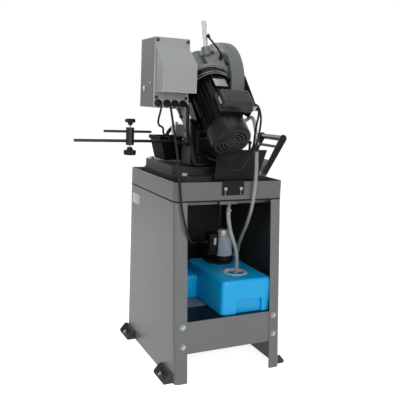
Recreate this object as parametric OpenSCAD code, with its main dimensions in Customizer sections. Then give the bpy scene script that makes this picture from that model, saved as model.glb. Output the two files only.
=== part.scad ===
// Cold saw on a stand, with a swivelling head, a vise, a bar stop and a coolant unit.
// X is the operator's right, Y points to the rear, Z is up and the floor is at 0.

/* [Stand] */
// Width of the stand and the tray
stand_w = 490; // [480:1:510]
// Depth of the stand's top and the tray
stand_d = 526; // [520:2:550]
// Height of the tray's rim above the floor
rim_h = 800; // [780:5:830]
// Height of the tray's wall
tray_h = 73; // [66:1:80]
// How far the rear legs lean out at the floor
rear_lean = 68; // [50:1:80]
// Sheet thickness of the stand and the tray
sheet_t = 3; // [2:0.5:4]
// Outer bend radius of the corners
corner_r = 20; // [16:1:24]
// Width of the rear legs
leg_w = 54; // [50:1:62]
// Height of the tank shelf's top
shelf_z = 247; // [235:1:258]
// Spacing of the floor bolts, front to rear
floor_sy = 458; // [440:2:470]
// Diameter of the floor bolt holes
floor_hole_d = 14; // [11:1:16]

/* [Coolant unit] */
// Width of the tank
tank_w = 235; // [225:1:240]
// Height of the tank
tank_h = 146; // [130:1:155]
// Wall of the tank
tank_wall = 3; // [2:0.5:4]
// Diameter of the pump's motor
pump_d = 86; // [80:1:90]
// Diameter of the drain hose
drain_d = 18; // [14:1:22]
// Diameter of the coolant hose
coolant_d = 15; // [12:1:17]

/* [Base and vise] */
// Height of the base casting above the tray's floor
base_h = 115; // [110:1:120]
// Height of the vise bed's top above the base
bed_rise = 103; // [98:1:108]
// Thickness of the vise bed
bed_t = 43; // [40:1:46]
// Height of the fixed jaws
jaw_h = 52; // [42:1:54]
// Opening of the vise in the modelled position
vise_open = 135; // [128:1:140]
// Gap between the jaw halves, for the blade and its lower guard
jaw_gap = 36; // [34:1:42]
// Diameter of the vise screw
screw_d = 18; // [14:1:20]
// Diameter of the handwheel
wheel_d = 160; // [140:5:180]

/* [Stop and roller] */
// Diameter of the stop's bar
stop_rod_d = 12.5; // [10:0.5:13]
// Diameter of the stop's barrel
barrel_d = 34; // [30:1:38]
// Diameter of the pointer rod
pointer_d = 10.5; // [8:0.5:12]
// Diameter of the support roller
roller_d = 25; // [20:1:28]

/* [Head] */
// Tilt of the motor axis in the raised position
head_tilt = 43; // [41:0.5:44]
// Diameter of the blade
blade_d = 315; // [300:1:316]
// Thickness of the blade
blade_t = 2.5; // [2:0.5:3]
// Outer diameter of the blade guard
guard_d = 364; // [362:1:370]
// Diameter of the pivot shaft
pivot_d = 30; // [26:1:32]
// Diameter of the motor's barrel over its fins
motor_d = 156; // [152:1:160]
// Length of the motor's barrel
motor_l = 221; // [216:1:226]
// Diameter of the lever's tube
lever_d = 24; // [20:1:26]
// Radial clearance of the running fits
run_c = 0.05; // [0.03:0.01:0.08]

/* [Cabinet] */
// Width of the switch cabinet
cab_w = 144; // [136:1:150]
// Height of the switch cabinet
cab_h = 265; // [255:1:275]
// Sheet thickness of the cabinet
cab_t = 2; // [1.5:0.5:3]

/* [Hidden] */
$fn = 48;

// Stand
hw = stand_w / 2;
hd = stand_d / 2;
stand_top = rim_h - tray_h - 2;
tray_floor = rim_h - tray_h + sheet_t;
lean_a = atan(rear_lean / stand_top);
lean_l = stand_top / cos(lean_a) + 60;
rail_t = 2.5;
rail_w = stand_w - 2 * corner_r - 8;
panel_z0 = shelf_z - 129;
leg_bolt_x = hw - 35;
foot_x = hw + 20;
function plate_rear(z) = hd - corner_r / cos(lean_a) + (stand_top - z) * tan(lean_a);
function lean_z(z) = (z - stand_top) / cos(lean_a);
// Tray fittings
drain_x = -5;
drain_y = hd - 23;
tab_x0 = -58;
tab_x1 = 43;
tab_screws = [-44, 26];
tab_z = rim_h - 28;
frame_y0 = -116;
frame_y1 = 70;
frame_bolts = [-85, 40];
frame_bolt_z = rim_h - 50;
// Coolant unit
tank_x0 = -hw + 40;
tank_x1 = tank_x0 + tank_w;
tank_x2 = hw - 55;
tank_y1 = hd + 29;
tank_y0 = tank_y1 - 372;
tank_step_y = tank_y1 - 247;
tank_top = shelf_z + tank_h;
tank_step_z = tank_top - 43;
fill_x = tank_x0 + 119;
fill_y = tank_y1 - 114;
pump_x = tank_x0 + 87;
pump_y = tank_y1 - 292;
pump_z = tank_top + 31;
pump_r = pump_d / 2;
pump_l = 91;
outlet_x = pump_x - 60;
outlet_z = pump_z + 16;
// Base, swivel and vise
axis_x = -50;
axis_y = -30;
base_top = tray_floor + base_h;
base_x0 = -hw + 13;
base_x1 = hw - 44;
base_y0 = -hd + 13;
base_y1 = hd - 73;
post_r = 60;
ring_r = 132;
ring_z0 = base_top + 0.3;
ring_h = 39.7;
bed_top = base_top + bed_rise;
bed_bot = bed_top - bed_t;
bed_x0 = -170;
bed_x1 = 70;
bed_y0 = -260;
bed_y1 = 10;
fence_y = -30;
jaw_face = fence_y - vise_open;
jaw_l = 50;
gap_x0 = axis_x - jaw_gap / 2;
gap_x1 = axis_x + jaw_gap / 2;
chan_w = jaw_gap + 24;
chan_z = bed_bot + 3;
screw_r = screw_d / 2;
screw_z = chan_z + 11;
wheel_y = -396;
wheel_r = wheel_d / 2;
// Chute, stop and roller
chute_y0 = -170;
chute_y1 = -40;
chute_z1 = bed_top + 9;
chute_z0 = base_top + 10;
rod_y_pos = -30;
rod_z = bed_top - 11;
rod_r = stop_rod_d / 2;
rod_end = 566;
barrel_x = 332;
barrel_r = barrel_d / 2;
barrel_z0 = rod_z - 17;
barrel_z1 = rod_z + 56;
pointer_r = pointer_d / 2;
pointer_z = rod_z + 39;
pointer_x0 = 239;
pointer_x1 = 444;
roller_x = -hw - 117;
roller_z = rim_h + 162;
// Column and head
pivot_y = 90;
pivot_z = base_top + 155;
pivot_r = pivot_d / 2;
col_x0 = -5;
ear_l = [-18, 2];
ear_r = [100, 125];
col_y0 = 35;
col_y1 = 130;
col_top = pivot_z - 45;
arm_u = 186;
arm_v = -74;
spindle_y = pivot_y - arm_u * cos(head_tilt) - arm_v * sin(head_tilt);
spindle_z = pivot_z + arm_u * sin(head_tilt) - arm_v * cos(head_tilt);
blade_r = blade_d / 2;
blade_x = axis_x;
guard_r = guard_d / 2;
guard_x0 = blade_x - 29;
guard_x1 = blade_x + 30;
guard_split = blade_x + 6;
gear_x0 = guard_x1;
gear_x1 = 62;
gear_x2 = 95;
gear_u0 = -62;
gear_u1 = 64;
gear_v0 = -68;
gear_v1 = 143;
motor_x = 50;
motor_v = 68;
motor_r = motor_d / 2;
motor_u0 = gear_u1;
shield_u = motor_u0 + 33;
lip_u = shield_u + 12;
barrel_u = lip_u + motor_l;
fan_u = barrel_u + 64;
boss_r = 40;
boss_x = blade_x + 10.5;
spindle_r = 20;
nose_r = 16;
worm_r = 18;
wheel_cut_r = motor_v - worm_r - 0.5;
shaft_r = 14;
spring_x = 104;
spring_y = 148;
spring_z0 = pivot_z - 115;
spring_z1 = pivot_z + 15;
// Lever
lever_a = 60;
lever_base_u = -33;
lever_l = 133;
lever_r = lever_d / 2;
lever_top_u = lever_base_u - lever_l * sin(lever_a);
lever_top_v = gear_v1 + lever_l * cos(lever_a);
// Cabinet
cab_x0 = 157;
cab_x1 = cab_x0 + cab_w;
cab_y0 = -2;
cab_y1 = 150;
cab_z0 = pivot_z + 81;
cab_z1 = cab_z0 + cab_h;
cover_y0 = cab_y1 + 3;
cover_y1 = 237;
gland_z = cab_z0 + 18;
glands = [cab_x1 - 17, cab_x1 - 53, cab_x1 - 87, cab_x1 - 121];
estop_at = [265, cab_z0 + 220];
start_at = [192, cab_z0 + 220];
switch_at = [228, cab_z0 + 110];

// Routes of the hoses and cables, by hand
z_pump = pump_z - 424;
z_tray = rim_h - 800;
z_swv = pivot_z - 1000;
tx = tank_x0 + 205;
ty = tank_y1 - 292;
drain_route = [[-5, 240, 689 + z_tray], [-5, 240, 665], [-8, 239, 640], [-14, 237, 615],
    [-21, 234, 593], [-30 + tx, 230 + ty, 572], [-41 + tx, 225 + ty, 550],
    [-52 + tx, 219 + ty, 530], [-62 + tx, 212 + ty, 510], [-71 + tx, 206 + ty, 490],
    [-78 + tx, 200 + ty, 468], [-83 + tx, 195 + ty, 445], [-86 + tx, 190 + ty, 420],
    [-87 + tx, 186 + ty, 395], [-87 + tx, 184 + ty, tank_top - 23]];
coolant_route = [[-178 + tx, 16 + ty, 440 + z_pump], [-178 + tx, 26 + ty, 440 + z_pump],
    [-176 + tx, 38 + ty, 443 + z_pump], [-170 + tx, 52 + ty, 452], [-161 + tx, 68 + ty, 465],
    [-150 + tx, 86 + ty, 482], [-141 + tx, 108 + ty, 503], [-133, 135, 532],
    [-124, 168, 568], [-115, 205, 607], [-105, 240, 650], [-98, 268, 697], [-95, 284, 752],
    [-96, 288, 810], [-96, 288, 860], [-95, 286, 900], [-94, 285, 937 + z_swv]];
branch_route = [[-94, 285, 937.3], [-94, 285, 950], [-93, 284, 962], [-92, 281, 978],
    [-92, 276, 996], [-92, 269, 1014], [-93, 260, 1032], [-94, 249, 1046], [-94, 236, 1055],
    [-93, 220, 1056], [-89, 204, 1047], [-76, 187, 1033], [-62, 169.7, 1026.8],
    [-62, 158.7, 1037.1], [-62, 148.1, 1047]];
motor_route_a = [[-49.5, 335, 1091], [-54, 335, 1091], [-59, 336, 1088], [-61, 339, 1078],
    [-58, 342, 1062], [-54, 343, 1044], [-52, 341, 1024], [-53, 334, 1000], [-56, 326, 978],
    [-59, 318, 958], [-58, 311, 940], [-49, 306, 918], [-32, 301, 892], [-12, 296, 870],
    [8, 288, 866], [28, 274, 880], [54, 256, 895], [64, 236, 903], [62, 205, 909],
    [48, 165, 910], [45, 131.2, 910]];
motor_route_b = [[-49.5, 320, 1106], [-57, 320, 1106], [-64, 322, 1103], [-69, 328, 1092],
    [-71, 336, 1072], [-71, 341, 1050], [-70, 341, 1025], [-70, 335, 996], [-70, 328, 972],
    [-68, 321, 950], [-59, 315, 926], [-45, 311, 900], [-28, 309, 874], [-8, 307, 856],
    [14, 302, 852], [36, 288, 864], [60, 266, 880], [82, 240, 888], [84, 205, 895],
    [70, 165, 900], [64, 131.2, 900]];
supply_route = [[248, 172, 1098], [248, 174.5, 1098], [248, 177, 1098], [248, 185, 1096],
    [247.5, 192, 1090], [246.5, 196.5, 1080], [244, 200, 1062], [240.5, 203.5, 1037],
    [238, 212, 1006], [238, 225, 980], [237, 238, 952],
    [237, 252, 918], [237, 264, 880], [235, 272, 840], [232, 276, 800], [228, 279, 755],
    [223, 283, 705], [213, 289, 655], [201, 292, 612], [185, 286, 580], [166, 262, 560],
    [143, 222, 548], [113 + tx, 172 + ty, 536], [78 + tx, 115 + ty, 522], [45 + tx, 55 + ty, 506],
    [25 + tx, 22 + ty, 496], [5 + tx, 8 + ty, 490], [-14 + tx, 5 + ty, 488],
    [-33 + tx, 5 + ty, 488]];
gland_route_1 = [[284, 172, 1098], [284, 174.5, 1098], [284, 177, 1098], [284, 184, 1096.3],
    [284, 190, 1091], [284.5, 193, 1083], [286.5, 191, 1066], [289, 184, 1045],
    [288.5, 176, 1026], [281, 168.5, 1013], [269, 165, 1008], [261, 161, 1000], [259, 157, 990],
    [256, 152, 982], [245, 143, 974], [222, 128, 961], [188, 112, 946], [158, 106, 938],
    [126.4, 104, 935]];
gland_route_3 = [[214, 172, 1098], [214, 174.5, 1098], [214, 177, 1098], [214, 184, 1096.3],
    [213, 190, 1091], [211, 192.5, 1083], [207, 190.5, 1072], [200.5, 182, 1062.5],
    [193, 170, 1056.5], [186, 159, 1053.5], [180, 150, 1052], [172, 136, 1049],
    [170, 121.6, 1048]];
gland_route_4 = [[180, 172, 1098], [180, 175, 1098], [180, 178, 1098], [180, 190, 1096],
    [180, 200, 1090], [179.5, 207, 1079], [179, 208, 1064], [176, 201, 1040], [169, 186, 1014],
    [158, 167, 988], [146, 149, 965], [132, 141.5, 945], [122, 139.5, 925], [119, 145, 892],
    [114.5, 153, 862], [97, 163, 858], [78, 160, 858], [78, 145, 858], [78, 130.5, 858]];
lever_route = [[40, 68, 1380], [38, 74, 1374], [36, 82, 1365], [31, 90, 1356], [26, 97, 1347],
    [20, 103, 1338], [14, 108, 1329], [7, 111, 1319], [0, 112, 1308], [-4, 109, 1297],
    [-5, 103.2, 1286.8]];

// Placement
module in_head() {
    translate([0, spindle_y, spindle_z]) rotate([-head_tilt, 0, 0]) children();
}
module in_lean() {
    translate([0, hd, stand_top]) rotate([lean_a, 0, 0]) children();
}
module along_x(x0, x1) {
    translate([x0, 0, 0]) rotate([90, 0, 90]) linear_extrude(x1 - x0) children();
}
module along_y(y0, y1) {
    translate([0, y1, 0]) rotate([90, 0, 0]) linear_extrude(y1 - y0) children();
}
module rod_x(x0, x1, y, z, r) {
    translate([x0, y, z]) rotate([0, 90, 0]) cylinder(h = x1 - x0, r = r);
}
module rod_y(y0, y1, x, z, r) {
    translate([x, y0, z]) rotate([-90, 0, 0]) cylinder(h = y1 - y0, r = r);
}
module box(x0, x1, y0, y1, z0, z1) {
    translate([x0, y0, z0]) cube([x1 - x0, y1 - y0, z1 - z0]);
}
module round_rect(x0, x1, y0, y1, r) {
    translate([x0 + r, y0]) square([x1 - x0 - 2 * r, y1 - y0]);
    translate([x0, y0 + r]) square([x1 - x0, y1 - y0 - 2 * r]);
    for (x = [x0 + r, x1 - r], y = [y0 + r, y1 - r]) translate([x, y]) circle(r);
}
module round_box(x0, x1, y0, y1, z0, z1, r) {
    translate([0, 0, z0]) linear_extrude(z1 - z0) round_rect(x0, x1, y0, y1, r);
}
// A hex bolt along -Z: head on z = 0 with a washer, and a shank below
module bolt(r, shank, washer) {
    cylinder(h = 2, r = washer);
    translate([0, 0, 1]) cylinder(h = 1 + 1.3 * r, r = 1.8 * r, $fn = 6);
    translate([0, 0, -shank]) cylinder(h = shank + 1, r = r);
}

// Sweeps for the hoses, cables and springs
function unit(v) = v / norm(v);
function tangents(p) = [for (i = [0:len(p) - 1])
    unit(p[min(i + 1, len(p) - 1)] - p[max(i - 1, 0)])];
function carried(t, n, i = 0, out = []) = i == len(t) ? out :
    let (m = unit(n - t[i] * (n * t[i]))) carried(t, m, i + 1, concat(out, [m]));
function thinned(p) = concat([for (i = [0:2:len(p) - 2]) p[i]], [p[len(p) - 1]]);
module tube(p, r, sides = 8) {
    t = tangents(p);
    n = carried(t, abs(t[0][2]) > 0.8 ? [1, 0, 0] : [0, 0, 1]);
    last = (len(p) - 1) * sides;
    pts = [for (i = [0:len(p) - 1], k = [0:sides - 1])
        p[i] + r * (cos(360 * k / sides) * n[i] + sin(360 * k / sides) * cross(t[i], n[i]))];
    walls = [for (i = [0:len(p) - 2], k = [0:sides - 1], h = [0, 1])
        h == 0 ? [i * sides + k, (i + 1) * sides + k, (i + 1) * sides + (k + 1) % sides] :
        [i * sides + k, (i + 1) * sides + (k + 1) % sides, i * sides + (k + 1) % sides]];
    caps = [[for (k = [0:sides - 1]) k], [for (k = [sides - 1:-1:0]) last + k]];
    polyhedron(pts, concat(walls, caps), convexity = 10);
}

// Stand
module bend() {
    difference() {
        intersection() {
            circle(corner_r);
            square(corner_r);
        }
        circle(corner_r - sheet_t);
    }
}
module at_leg_bolts() {
    for (x = [-leg_bolt_x, leg_bolt_x], z = [shelf_z - 17, shelf_z - 97])
        in_lean() translate([x, 0, lean_z(z)]) rotate([-90, 0, 0]) children();
}
module stand_shell() color("#8f9496") difference() {
    union() {
        linear_extrude(stand_top) {
            for (s = [0, 1]) mirror([s, 0]) {
                translate([hw - corner_r, -hd + corner_r]) rotate(-90) bend();
                translate([hw - sheet_t, -hd + corner_r]) square([sheet_t, 60]);
            }
            translate([-hw + corner_r, -hd]) square([stand_w - 2 * corner_r, sheet_t]);
        }
        for (s = [0, 1]) mirror([s, 0, 0]) {
            along_x(hw - sheet_t + 0.15, hw - 0.15) polygon([[-hd + corner_r + 30, 0], [plate_rear(0) - 30, 0],
                [plate_rear(stand_top) - 30, stand_top], [-hd + corner_r + 30, stand_top]]);
            intersection() {
                in_lean() {
                    translate([0, 0, -lean_l]) linear_extrude(lean_l + 50) {
                        translate([hw - corner_r, -corner_r]) bend();
                        translate([hw - sheet_t, -corner_r - 60]) square([sheet_t, 60]);
                        translate([hw - leg_w, -sheet_t]) square([leg_w - corner_r, sheet_t]);
                    }
                }
                box(0, hw + 1, 0, stand_d, 0, stand_top);
            }
        }
    }
    at_leg_bolts() translate([0, 0, -20]) cylinder(h = 30, r = 5.2);
}
module rear_rails() color("#8f9496") {
    difference() {
        in_lean() box(-rail_w / 2, rail_w / 2, -sheet_t - rail_t, -sheet_t,
            lean_z(panel_z0), lean_z(shelf_z));
        at_leg_bolts() translate([0, 0, -20]) cylinder(h = 30, r = 5.2);
    }
    box(-hw + sheet_t, hw - sheet_t, hd - 58, hd - 55, stand_top - 25, stand_top);
}
module tank_shelf() color("#1c1d1f") {
    y1 = hd + (stand_top - shelf_z) * tan(lean_a) - (sheet_t + rail_t) / cos(lean_a) - 0.4;
    round_box(-hw + sheet_t + 0.4, hw - sheet_t - 0.4, -hd + sheet_t + 0.4, y1,
        shelf_z - sheet_t, shelf_z, corner_r - 2);
}
module floor_feet() color("#1c1d1f") {
    for (s = [0, 1], y = [-floor_sy / 2 - 33, floor_sy / 2 - 34]) mirror([s, 0, 0]) difference() {
        union() {
            box(hw, hw + 38, y, y + 113, 0, 5);
            box(hw, hw + 5, y, y + 113, 0, 40);
            for (g = [y, y + 109]) along_y(g, g + 4)
                polygon([[hw, 0], [hw + 38, 0], [hw + 38, 13], [hw + 14, 40], [hw, 40]]);
        }
        translate([foot_x, y < 0 ? -floor_sy / 2 : floor_sy / 2, -1])
            cylinder(h = 8, d = floor_hole_d);
    }
}
base_bolts = [[base_x1 - 29, base_y0 + 60, 0], [base_x0 + 77, base_y0 + 85, 0],
    [base_x0 + 32, base_y1 - 57, -33], [base_x1 - 45, base_y1 - 40, -33]];
module stand_fasteners() color("#b9bcbf") {
    at_leg_bolts() {
        bolt(5, 16, 12);
        translate([0, 0, -sheet_t - rail_t - 7]) cylinder(h = 7, r = 9, $fn = 6);
    }
    for (x = tab_screws) translate([x, hd + 2.3, tab_z]) rotate([-90, 0, 0]) bolt(3, 9, 7);
    for (y = frame_bolts) translate([-hw - 5, y, frame_bolt_z]) rotate([0, -90, 0]) bolt(4, 12, 9);
    for (b = base_bolts) translate([b[0], b[1], base_top + b[2]]) bolt(7, 12, 14);
}

// Tray and its fittings
module tray() color("#8f9496") difference() {
    union() {
        round_box(-hw, hw, -hd, hd, stand_top + 2, rim_h, corner_r);
        difference() {
            round_box(-hw + 1.5, hw - 1.5, -hd + 1.5, hd - 1.5, stand_top, stand_top + 3, corner_r - 1.5);
            round_box(-hw + 9, hw - 9, -hd + 9, hd - 9, stand_top - 1, stand_top + 2, corner_r - 9);
        }
    }
    round_box(-hw + sheet_t, hw - sheet_t, -hd + sheet_t, hd - sheet_t, tray_floor, rim_h + 1,
        corner_r - sheet_t);
    translate([drain_x, drain_y, stand_top]) cylinder(h = 10, r = 13);
    for (x = tab_screws) rod_y(hd - 10, hd + 5, x, tab_z, 3.2);
    for (y = frame_bolts) rod_x(-hw - 5, -hw + 10, y, frame_bolt_z, 4.2);
}
module hose_fittings() color("#26282b") {
    difference() {
        union() {
            translate([drain_x, drain_y, stand_top - 20]) cylinder(h = 22, r = 13.4);
            box(drain_x - 35, drain_x + 48, drain_y - 12, drain_y + 13, stand_top - 4, stand_top + 2);
            translate([drain_x, drain_y, stand_top]) cylinder(h = 5, r = 12.8);
            translate([drain_x, drain_y, stand_top - 35]) cylinder(h = 16, d = drain_d);
        }
        translate([drain_x, drain_y, stand_top - 40]) cylinder(h = 50, d = drain_d - 6);
    }
    rod_x(outlet_x - 6, pump_x - pump_r - 3, pump_y, pump_z - 10, 6.5);
    translate([outlet_x, pump_y, pump_z - 17]) cylinder(h = 40, r = 7);
    rod_y(pump_y, pump_y + 15, outlet_x, outlet_z, 7);
}
module splash_plate() color("#202225") difference() {
    union() {
        along_y(hd - 38, hd - 35) polygon([[60, rim_h], [51, rim_h + 125], [-180, rim_h + 125],
            [-139, rim_h]]);
        box(tab_x0, tab_x1, hd - 38, hd + 2.3, rim_h, rim_h + 3);
        box(tab_x0, tab_x1, hd + 0.3, hd + 2.3, rim_h - 55, rim_h + 3);
    }
    for (x = tab_screws) {
        box(x - 3.4, x + 3.4, hd - 1, hd + 5, rim_h - 60, tab_z);
        rod_y(hd - 1, hd + 5, x, tab_z, 3.4);
    }
}

// Coolant unit
module tank_form(wall, gap) {
    round_box(tank_x0 + wall, tank_x1 - wall, tank_y0 + wall, tank_y1 - wall - gap,
        shelf_z + wall, tank_top - wall, 24 - wall);
    round_box(tank_x0 + wall, tank_x2 - wall, tank_y0 + wall, tank_step_y - wall,
        shelf_z + wall, tank_step_z - wall, 24 - wall);
}
module coolant_tank() color("#2f5fa6") difference() {
    tank_form(0, 0);
    tank_form(tank_wall, 6);
    translate([fill_x, fill_y, tank_top - 10]) cylinder(h = 20, r = 45);
    translate([pump_x, pump_y, tank_top - 10]) cylinder(h = 20, r = 30);
    box(tank_x0 + 45, tank_x1 - 60, tank_y1 - 6, tank_y1 + 1, shelf_z - 1, shelf_z + 62);
}
module pump_base() color("#1b1d20") difference() {
    union() {
        translate([pump_x + 22, pump_y, tank_top]) rotate(22.5) cylinder(h = 10, r = 68, $fn = 8);
        translate([pump_x, pump_y, tank_top]) cylinder(h = 31, r = pump_r + 3);
        translate([pump_x, pump_y, tank_top - 108]) cylinder(h = 110, r = 28);
    }
    translate([pump_x, pump_y, tank_top - 104]) cylinder(h = 124, r = 25);
    translate([pump_x, pump_y, tank_top]) cylinder(h = 40, r = 6.5);
    translate([pump_x, pump_y, tank_top - 110]) cylinder(h = 10, r = 10);
}
module pump_cone(gap) {
    translate([pump_x, pump_y, pump_z]) cylinder(h = pump_l, r1 = pump_r + gap, r2 = pump_r - 7 + gap);
}
module pump_motor() color("#9fb0bd") difference() {
    union() {
        pump_cone(0);
        translate([pump_x + 4, pump_y, pump_z + pump_l]) cylinder(h = 27, r = 27);
    }
    translate([pump_x, pump_y, pump_z - 1]) cylinder(h = pump_l - 8, r = pump_r - 10);
}
module pump_box() color("#2a2c30") difference() {
    round_box(pump_x + pump_r - 9, pump_x + 84, pump_y - 30, pump_y + 30, pump_z + 6, pump_z + 106, 5);
    pump_cone(0.05);
    box(pump_x + pump_r + 3, pump_x + 81, pump_y - 27, pump_y + 27, pump_z + 9, pump_z + 103);
}
module pump_rotor() color("#8a8d90") translate([pump_x, pump_y, 0]) {
    translate([0, 0, tank_top - 98]) cylinder(h = 98 + 31 + pump_l - 12, r = 6);
    translate([0, 0, pump_z + 12]) cylinder(h = 55, r = 28);
    translate([0, 0, tank_top - 98]) cylinder(h = 10, r = 22);
}
module drain_hose() color("#3a3d40") tube(thinned(drain_route), drain_d / 2);
module coolant_hose() color("#d9dcd6") tube(thinned(coolant_route), coolant_d / 2);
module coolant_branch() color("#d9dcd6") tube(thinned(branch_route), coolant_d / 2);

// Base and vise
module base_casting() color("#7d8285") difference() {
    union() {
        round_box(base_x0, base_x1, base_y0, base_y1, tray_floor, base_top - 33, 60);
        round_box(base_x0 + 52, base_x1 - 10, base_y0, base_y1 - 60, base_top - 40, base_top, 45);
        translate([axis_x, axis_y, base_top - 5]) cylinder(h = bed_bot - base_top + 5, r = post_r);
    }
    round_box(base_x0 + 14, base_x1 - 14, base_y0 + 14, base_y1 - 14, tray_floor - 1, base_top - 47, 46);
    round_box(base_x0 + 66, base_x1 - 24, base_y0 + 14, base_y1 - 74, base_top - 60, base_top - 14, 31);
    translate([axis_x, axis_y, base_top - 20]) cylinder(h = bed_bot - base_top + 5, r = post_r - 14);
    for (b = base_bolts) translate([b[0], b[1], base_top + b[2] - 13]) cylinder(h = 14, r = 7.2);
}
module vise_bed() color("#6f7477") difference() {
    union() {
        box(bed_x0, bed_x1, bed_y0, bed_y1, bed_bot, bed_top);
        box(-130, 30, -245, -178, base_top, bed_bot + 1);
    }
    box(axis_x - chan_w / 2, axis_x + chan_w / 2, bed_y0 + 20, fence_y - 5, chan_z, bed_top + 1);
    box(axis_x - 6, axis_x + 6, fence_y - 10, bed_y1 + 1, bed_top - 22, bed_top + 1);
    rod_y(bed_y0 - 1, bed_y0 + 30, axis_x, screw_z, screw_r + run_c);
    rod_x(20, bed_x1 + 1, rod_y_pos, rod_z, rod_r + 0.02);
}
module fixed_jaws() color("#75797c") {
    box(bed_x0, gap_x0, fence_y, bed_y1, bed_top, bed_top + jaw_h);
    box(gap_x1, bed_x1, fence_y, bed_y1, bed_top, bed_top + jaw_h);
}
module moving_jaw() color("#b8bcbe") difference() {
    union() {
        box(bed_x0, gap_x0, jaw_face - jaw_l, jaw_face, bed_top + 0.3, bed_top + 56);
        box(gap_x1, bed_x1, jaw_face - jaw_l, jaw_face, bed_top + 0.3, bed_top + 56);
        box(gap_x0 - 10, gap_x0, jaw_face - jaw_l, jaw_face, chan_z + 0.5, bed_top + 5);
        box(gap_x1, gap_x1 + 10, jaw_face - jaw_l, jaw_face, chan_z + 0.5, bed_top + 5);
        box(gap_x0 - 5, gap_x1 + 5, jaw_face - jaw_l, jaw_face, chan_z + 0.5, chan_z + 22);
        translate([55, jaw_face - 25, bed_top + 55]) cylinder(h = 13, r = 7);
    }
    rod_y(jaw_face - jaw_l - 1, jaw_face + 1, axis_x, screw_z, screw_r + run_c);
}
module vise_screw() color("#a9acae") {
    rod_y(wheel_y + 12, fence_y - 10, axis_x, screw_z, screw_r);
    rod_y(bed_y0 - 12, bed_y0 - 0.4, axis_x, screw_z, screw_r + 6);
}
module handwheel() color("#25272a") {
    difference() {
        rod_y(wheel_y - 6, wheel_y + 26, axis_x, screw_z, 19);
        rod_y(wheel_y + 12, wheel_y + 30, axis_x, screw_z, screw_r + 0.02);
    }
    translate([axis_x, wheel_y, screw_z]) rotate([90, 0, 0])
        rotate_extrude() translate([wheel_r - 9, 0]) circle(9);
    for (a = [30, 150, 270]) translate([axis_x, wheel_y, screw_z]) rotate([0, a, 0])
        translate([0, 0, 15]) cylinder(h = wheel_r - 24, r = 6.5);
    rod_y(wheel_y - 75, wheel_y, axis_x + wheel_r - 9, screw_z, 8);
}

// Chute, stop and roller
module chute() color("#191b1d") {
    difference() {
        along_y(chute_y0, chute_y1) polygon([[72, chute_z1], [193, chute_z1], [167, chute_z0],
            [91, chute_z0]]);
        along_y(chute_y0 + 3, chute_y1 - 3) polygon([[75, chute_z1 + 1], [190.2, chute_z1 + 1],
            [163.6, chute_z0 - 1], [94.2, chute_z0 - 1]]);
    }
    difference() {
        box(80, 196, chute_y0 - 3, chute_y1 + 3, chute_z1 - 16, chute_z1);
        along_y(chute_y0 + 1, chute_y1 - 1) polygon([[60, chute_z1 + 1], [191.5, chute_z1 + 1],
            [187, chute_z1 - 17], [60, chute_z1 - 17]]);
    }
    box(bed_x1, 78, -150, -60, bed_top - 28, bed_top - 4);
}
module stop_rod() color("#3a3d3f") rod_x(25, rod_end, rod_y_pos, rod_z, rod_r);
module stop_barrel() color("#2c2f31") difference() {
    translate([barrel_x, rod_y_pos, barrel_z0]) cylinder(h = barrel_z1 - barrel_z0, r = barrel_r);
    rod_x(barrel_x - 30, barrel_x + 30, rod_y_pos, rod_z, rod_r + run_c);
    rod_x(barrel_x - 30, barrel_x + 30, rod_y_pos, pointer_z, pointer_r + run_c);
    translate([barrel_x, rod_y_pos, pointer_z]) cylinder(h = 40, r = 3 + run_c);
    translate([barrel_x, rod_y_pos, barrel_z0 - 1]) cylinder(h = 12, r = 3 + run_c);
}
module stop_pointer() color("#3a3d3f") {
    rod_x(pointer_x0, pointer_x1, rod_y_pos, pointer_z, pointer_r);
}
module stop_knob_upper() color("#1a1b1d") translate([barrel_x, rod_y_pos, 0]) {
    translate([0, 0, pointer_z + pointer_r + 0.6]) cylinder(h = 26, r = 3);
    translate([0, 0, barrel_z1 + 10]) cylinder(h = 11, r = 9);
    translate([0, 0, barrel_z1 + 20]) cylinder(h = 16, r = 22);
}
module stop_knob_lower() color("#1a1b1d") translate([barrel_x, rod_y_pos, 0]) {
    translate([0, 0, barrel_z0 - 10]) cylinder(h = 19, r = 3);
    translate([0, 0, barrel_z0 - 21]) cylinder(h = 12, r = 11.5);
    translate([0, 0, barrel_z0 - 42]) cylinder(h = 21, r = 26.5);
}
module frame_arm(y0, y1) {
    along_y(y0, y1) {
        polygon([[-hw - 2, rim_h - 68], [-hw - 2, rim_h - 25], [roller_x + 16, roller_z + 8],
            [roller_x - 16, roller_z - 8]]);
        translate([roller_x, roller_z]) circle(17.9);
    }
}
module roller_frame() color("#1b1c1e") difference() {
    union() {
        frame_arm(frame_y0, frame_y0 + 6);
        frame_arm(frame_y1 - 6, frame_y1);
        box(-hw - 5, -hw, frame_y0, frame_y1, rim_h - 68, rim_h - 25);
        along_y(frame_y0 + 3, frame_y1 - 3) polygon([[-hw - 4, rim_h - 40], [-hw, rim_h - 40],
            [roller_x + 57, roller_z - 98], [roller_x + 53, roller_z - 98]]);
        rod_y(frame_y0 + 3, frame_y1 - 3, roller_x + 20, roller_z - 38, 6.5);
    }
    rod_y(frame_y0 - 1, frame_y1 + 1, roller_x, roller_z, 5 + run_c);
    for (y = frame_bolts) rod_x(-hw - 8, -hw + 1, y, frame_bolt_z, 4.2);
}
module roller() color("#3a3d3f") {
    rod_y(frame_y0 + 6.5, frame_y1 - 6.5, roller_x, roller_z, roller_d / 2);
    rod_y(frame_y0 + 1, frame_y1 - 1, roller_x, roller_z, 5);
}

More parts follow.
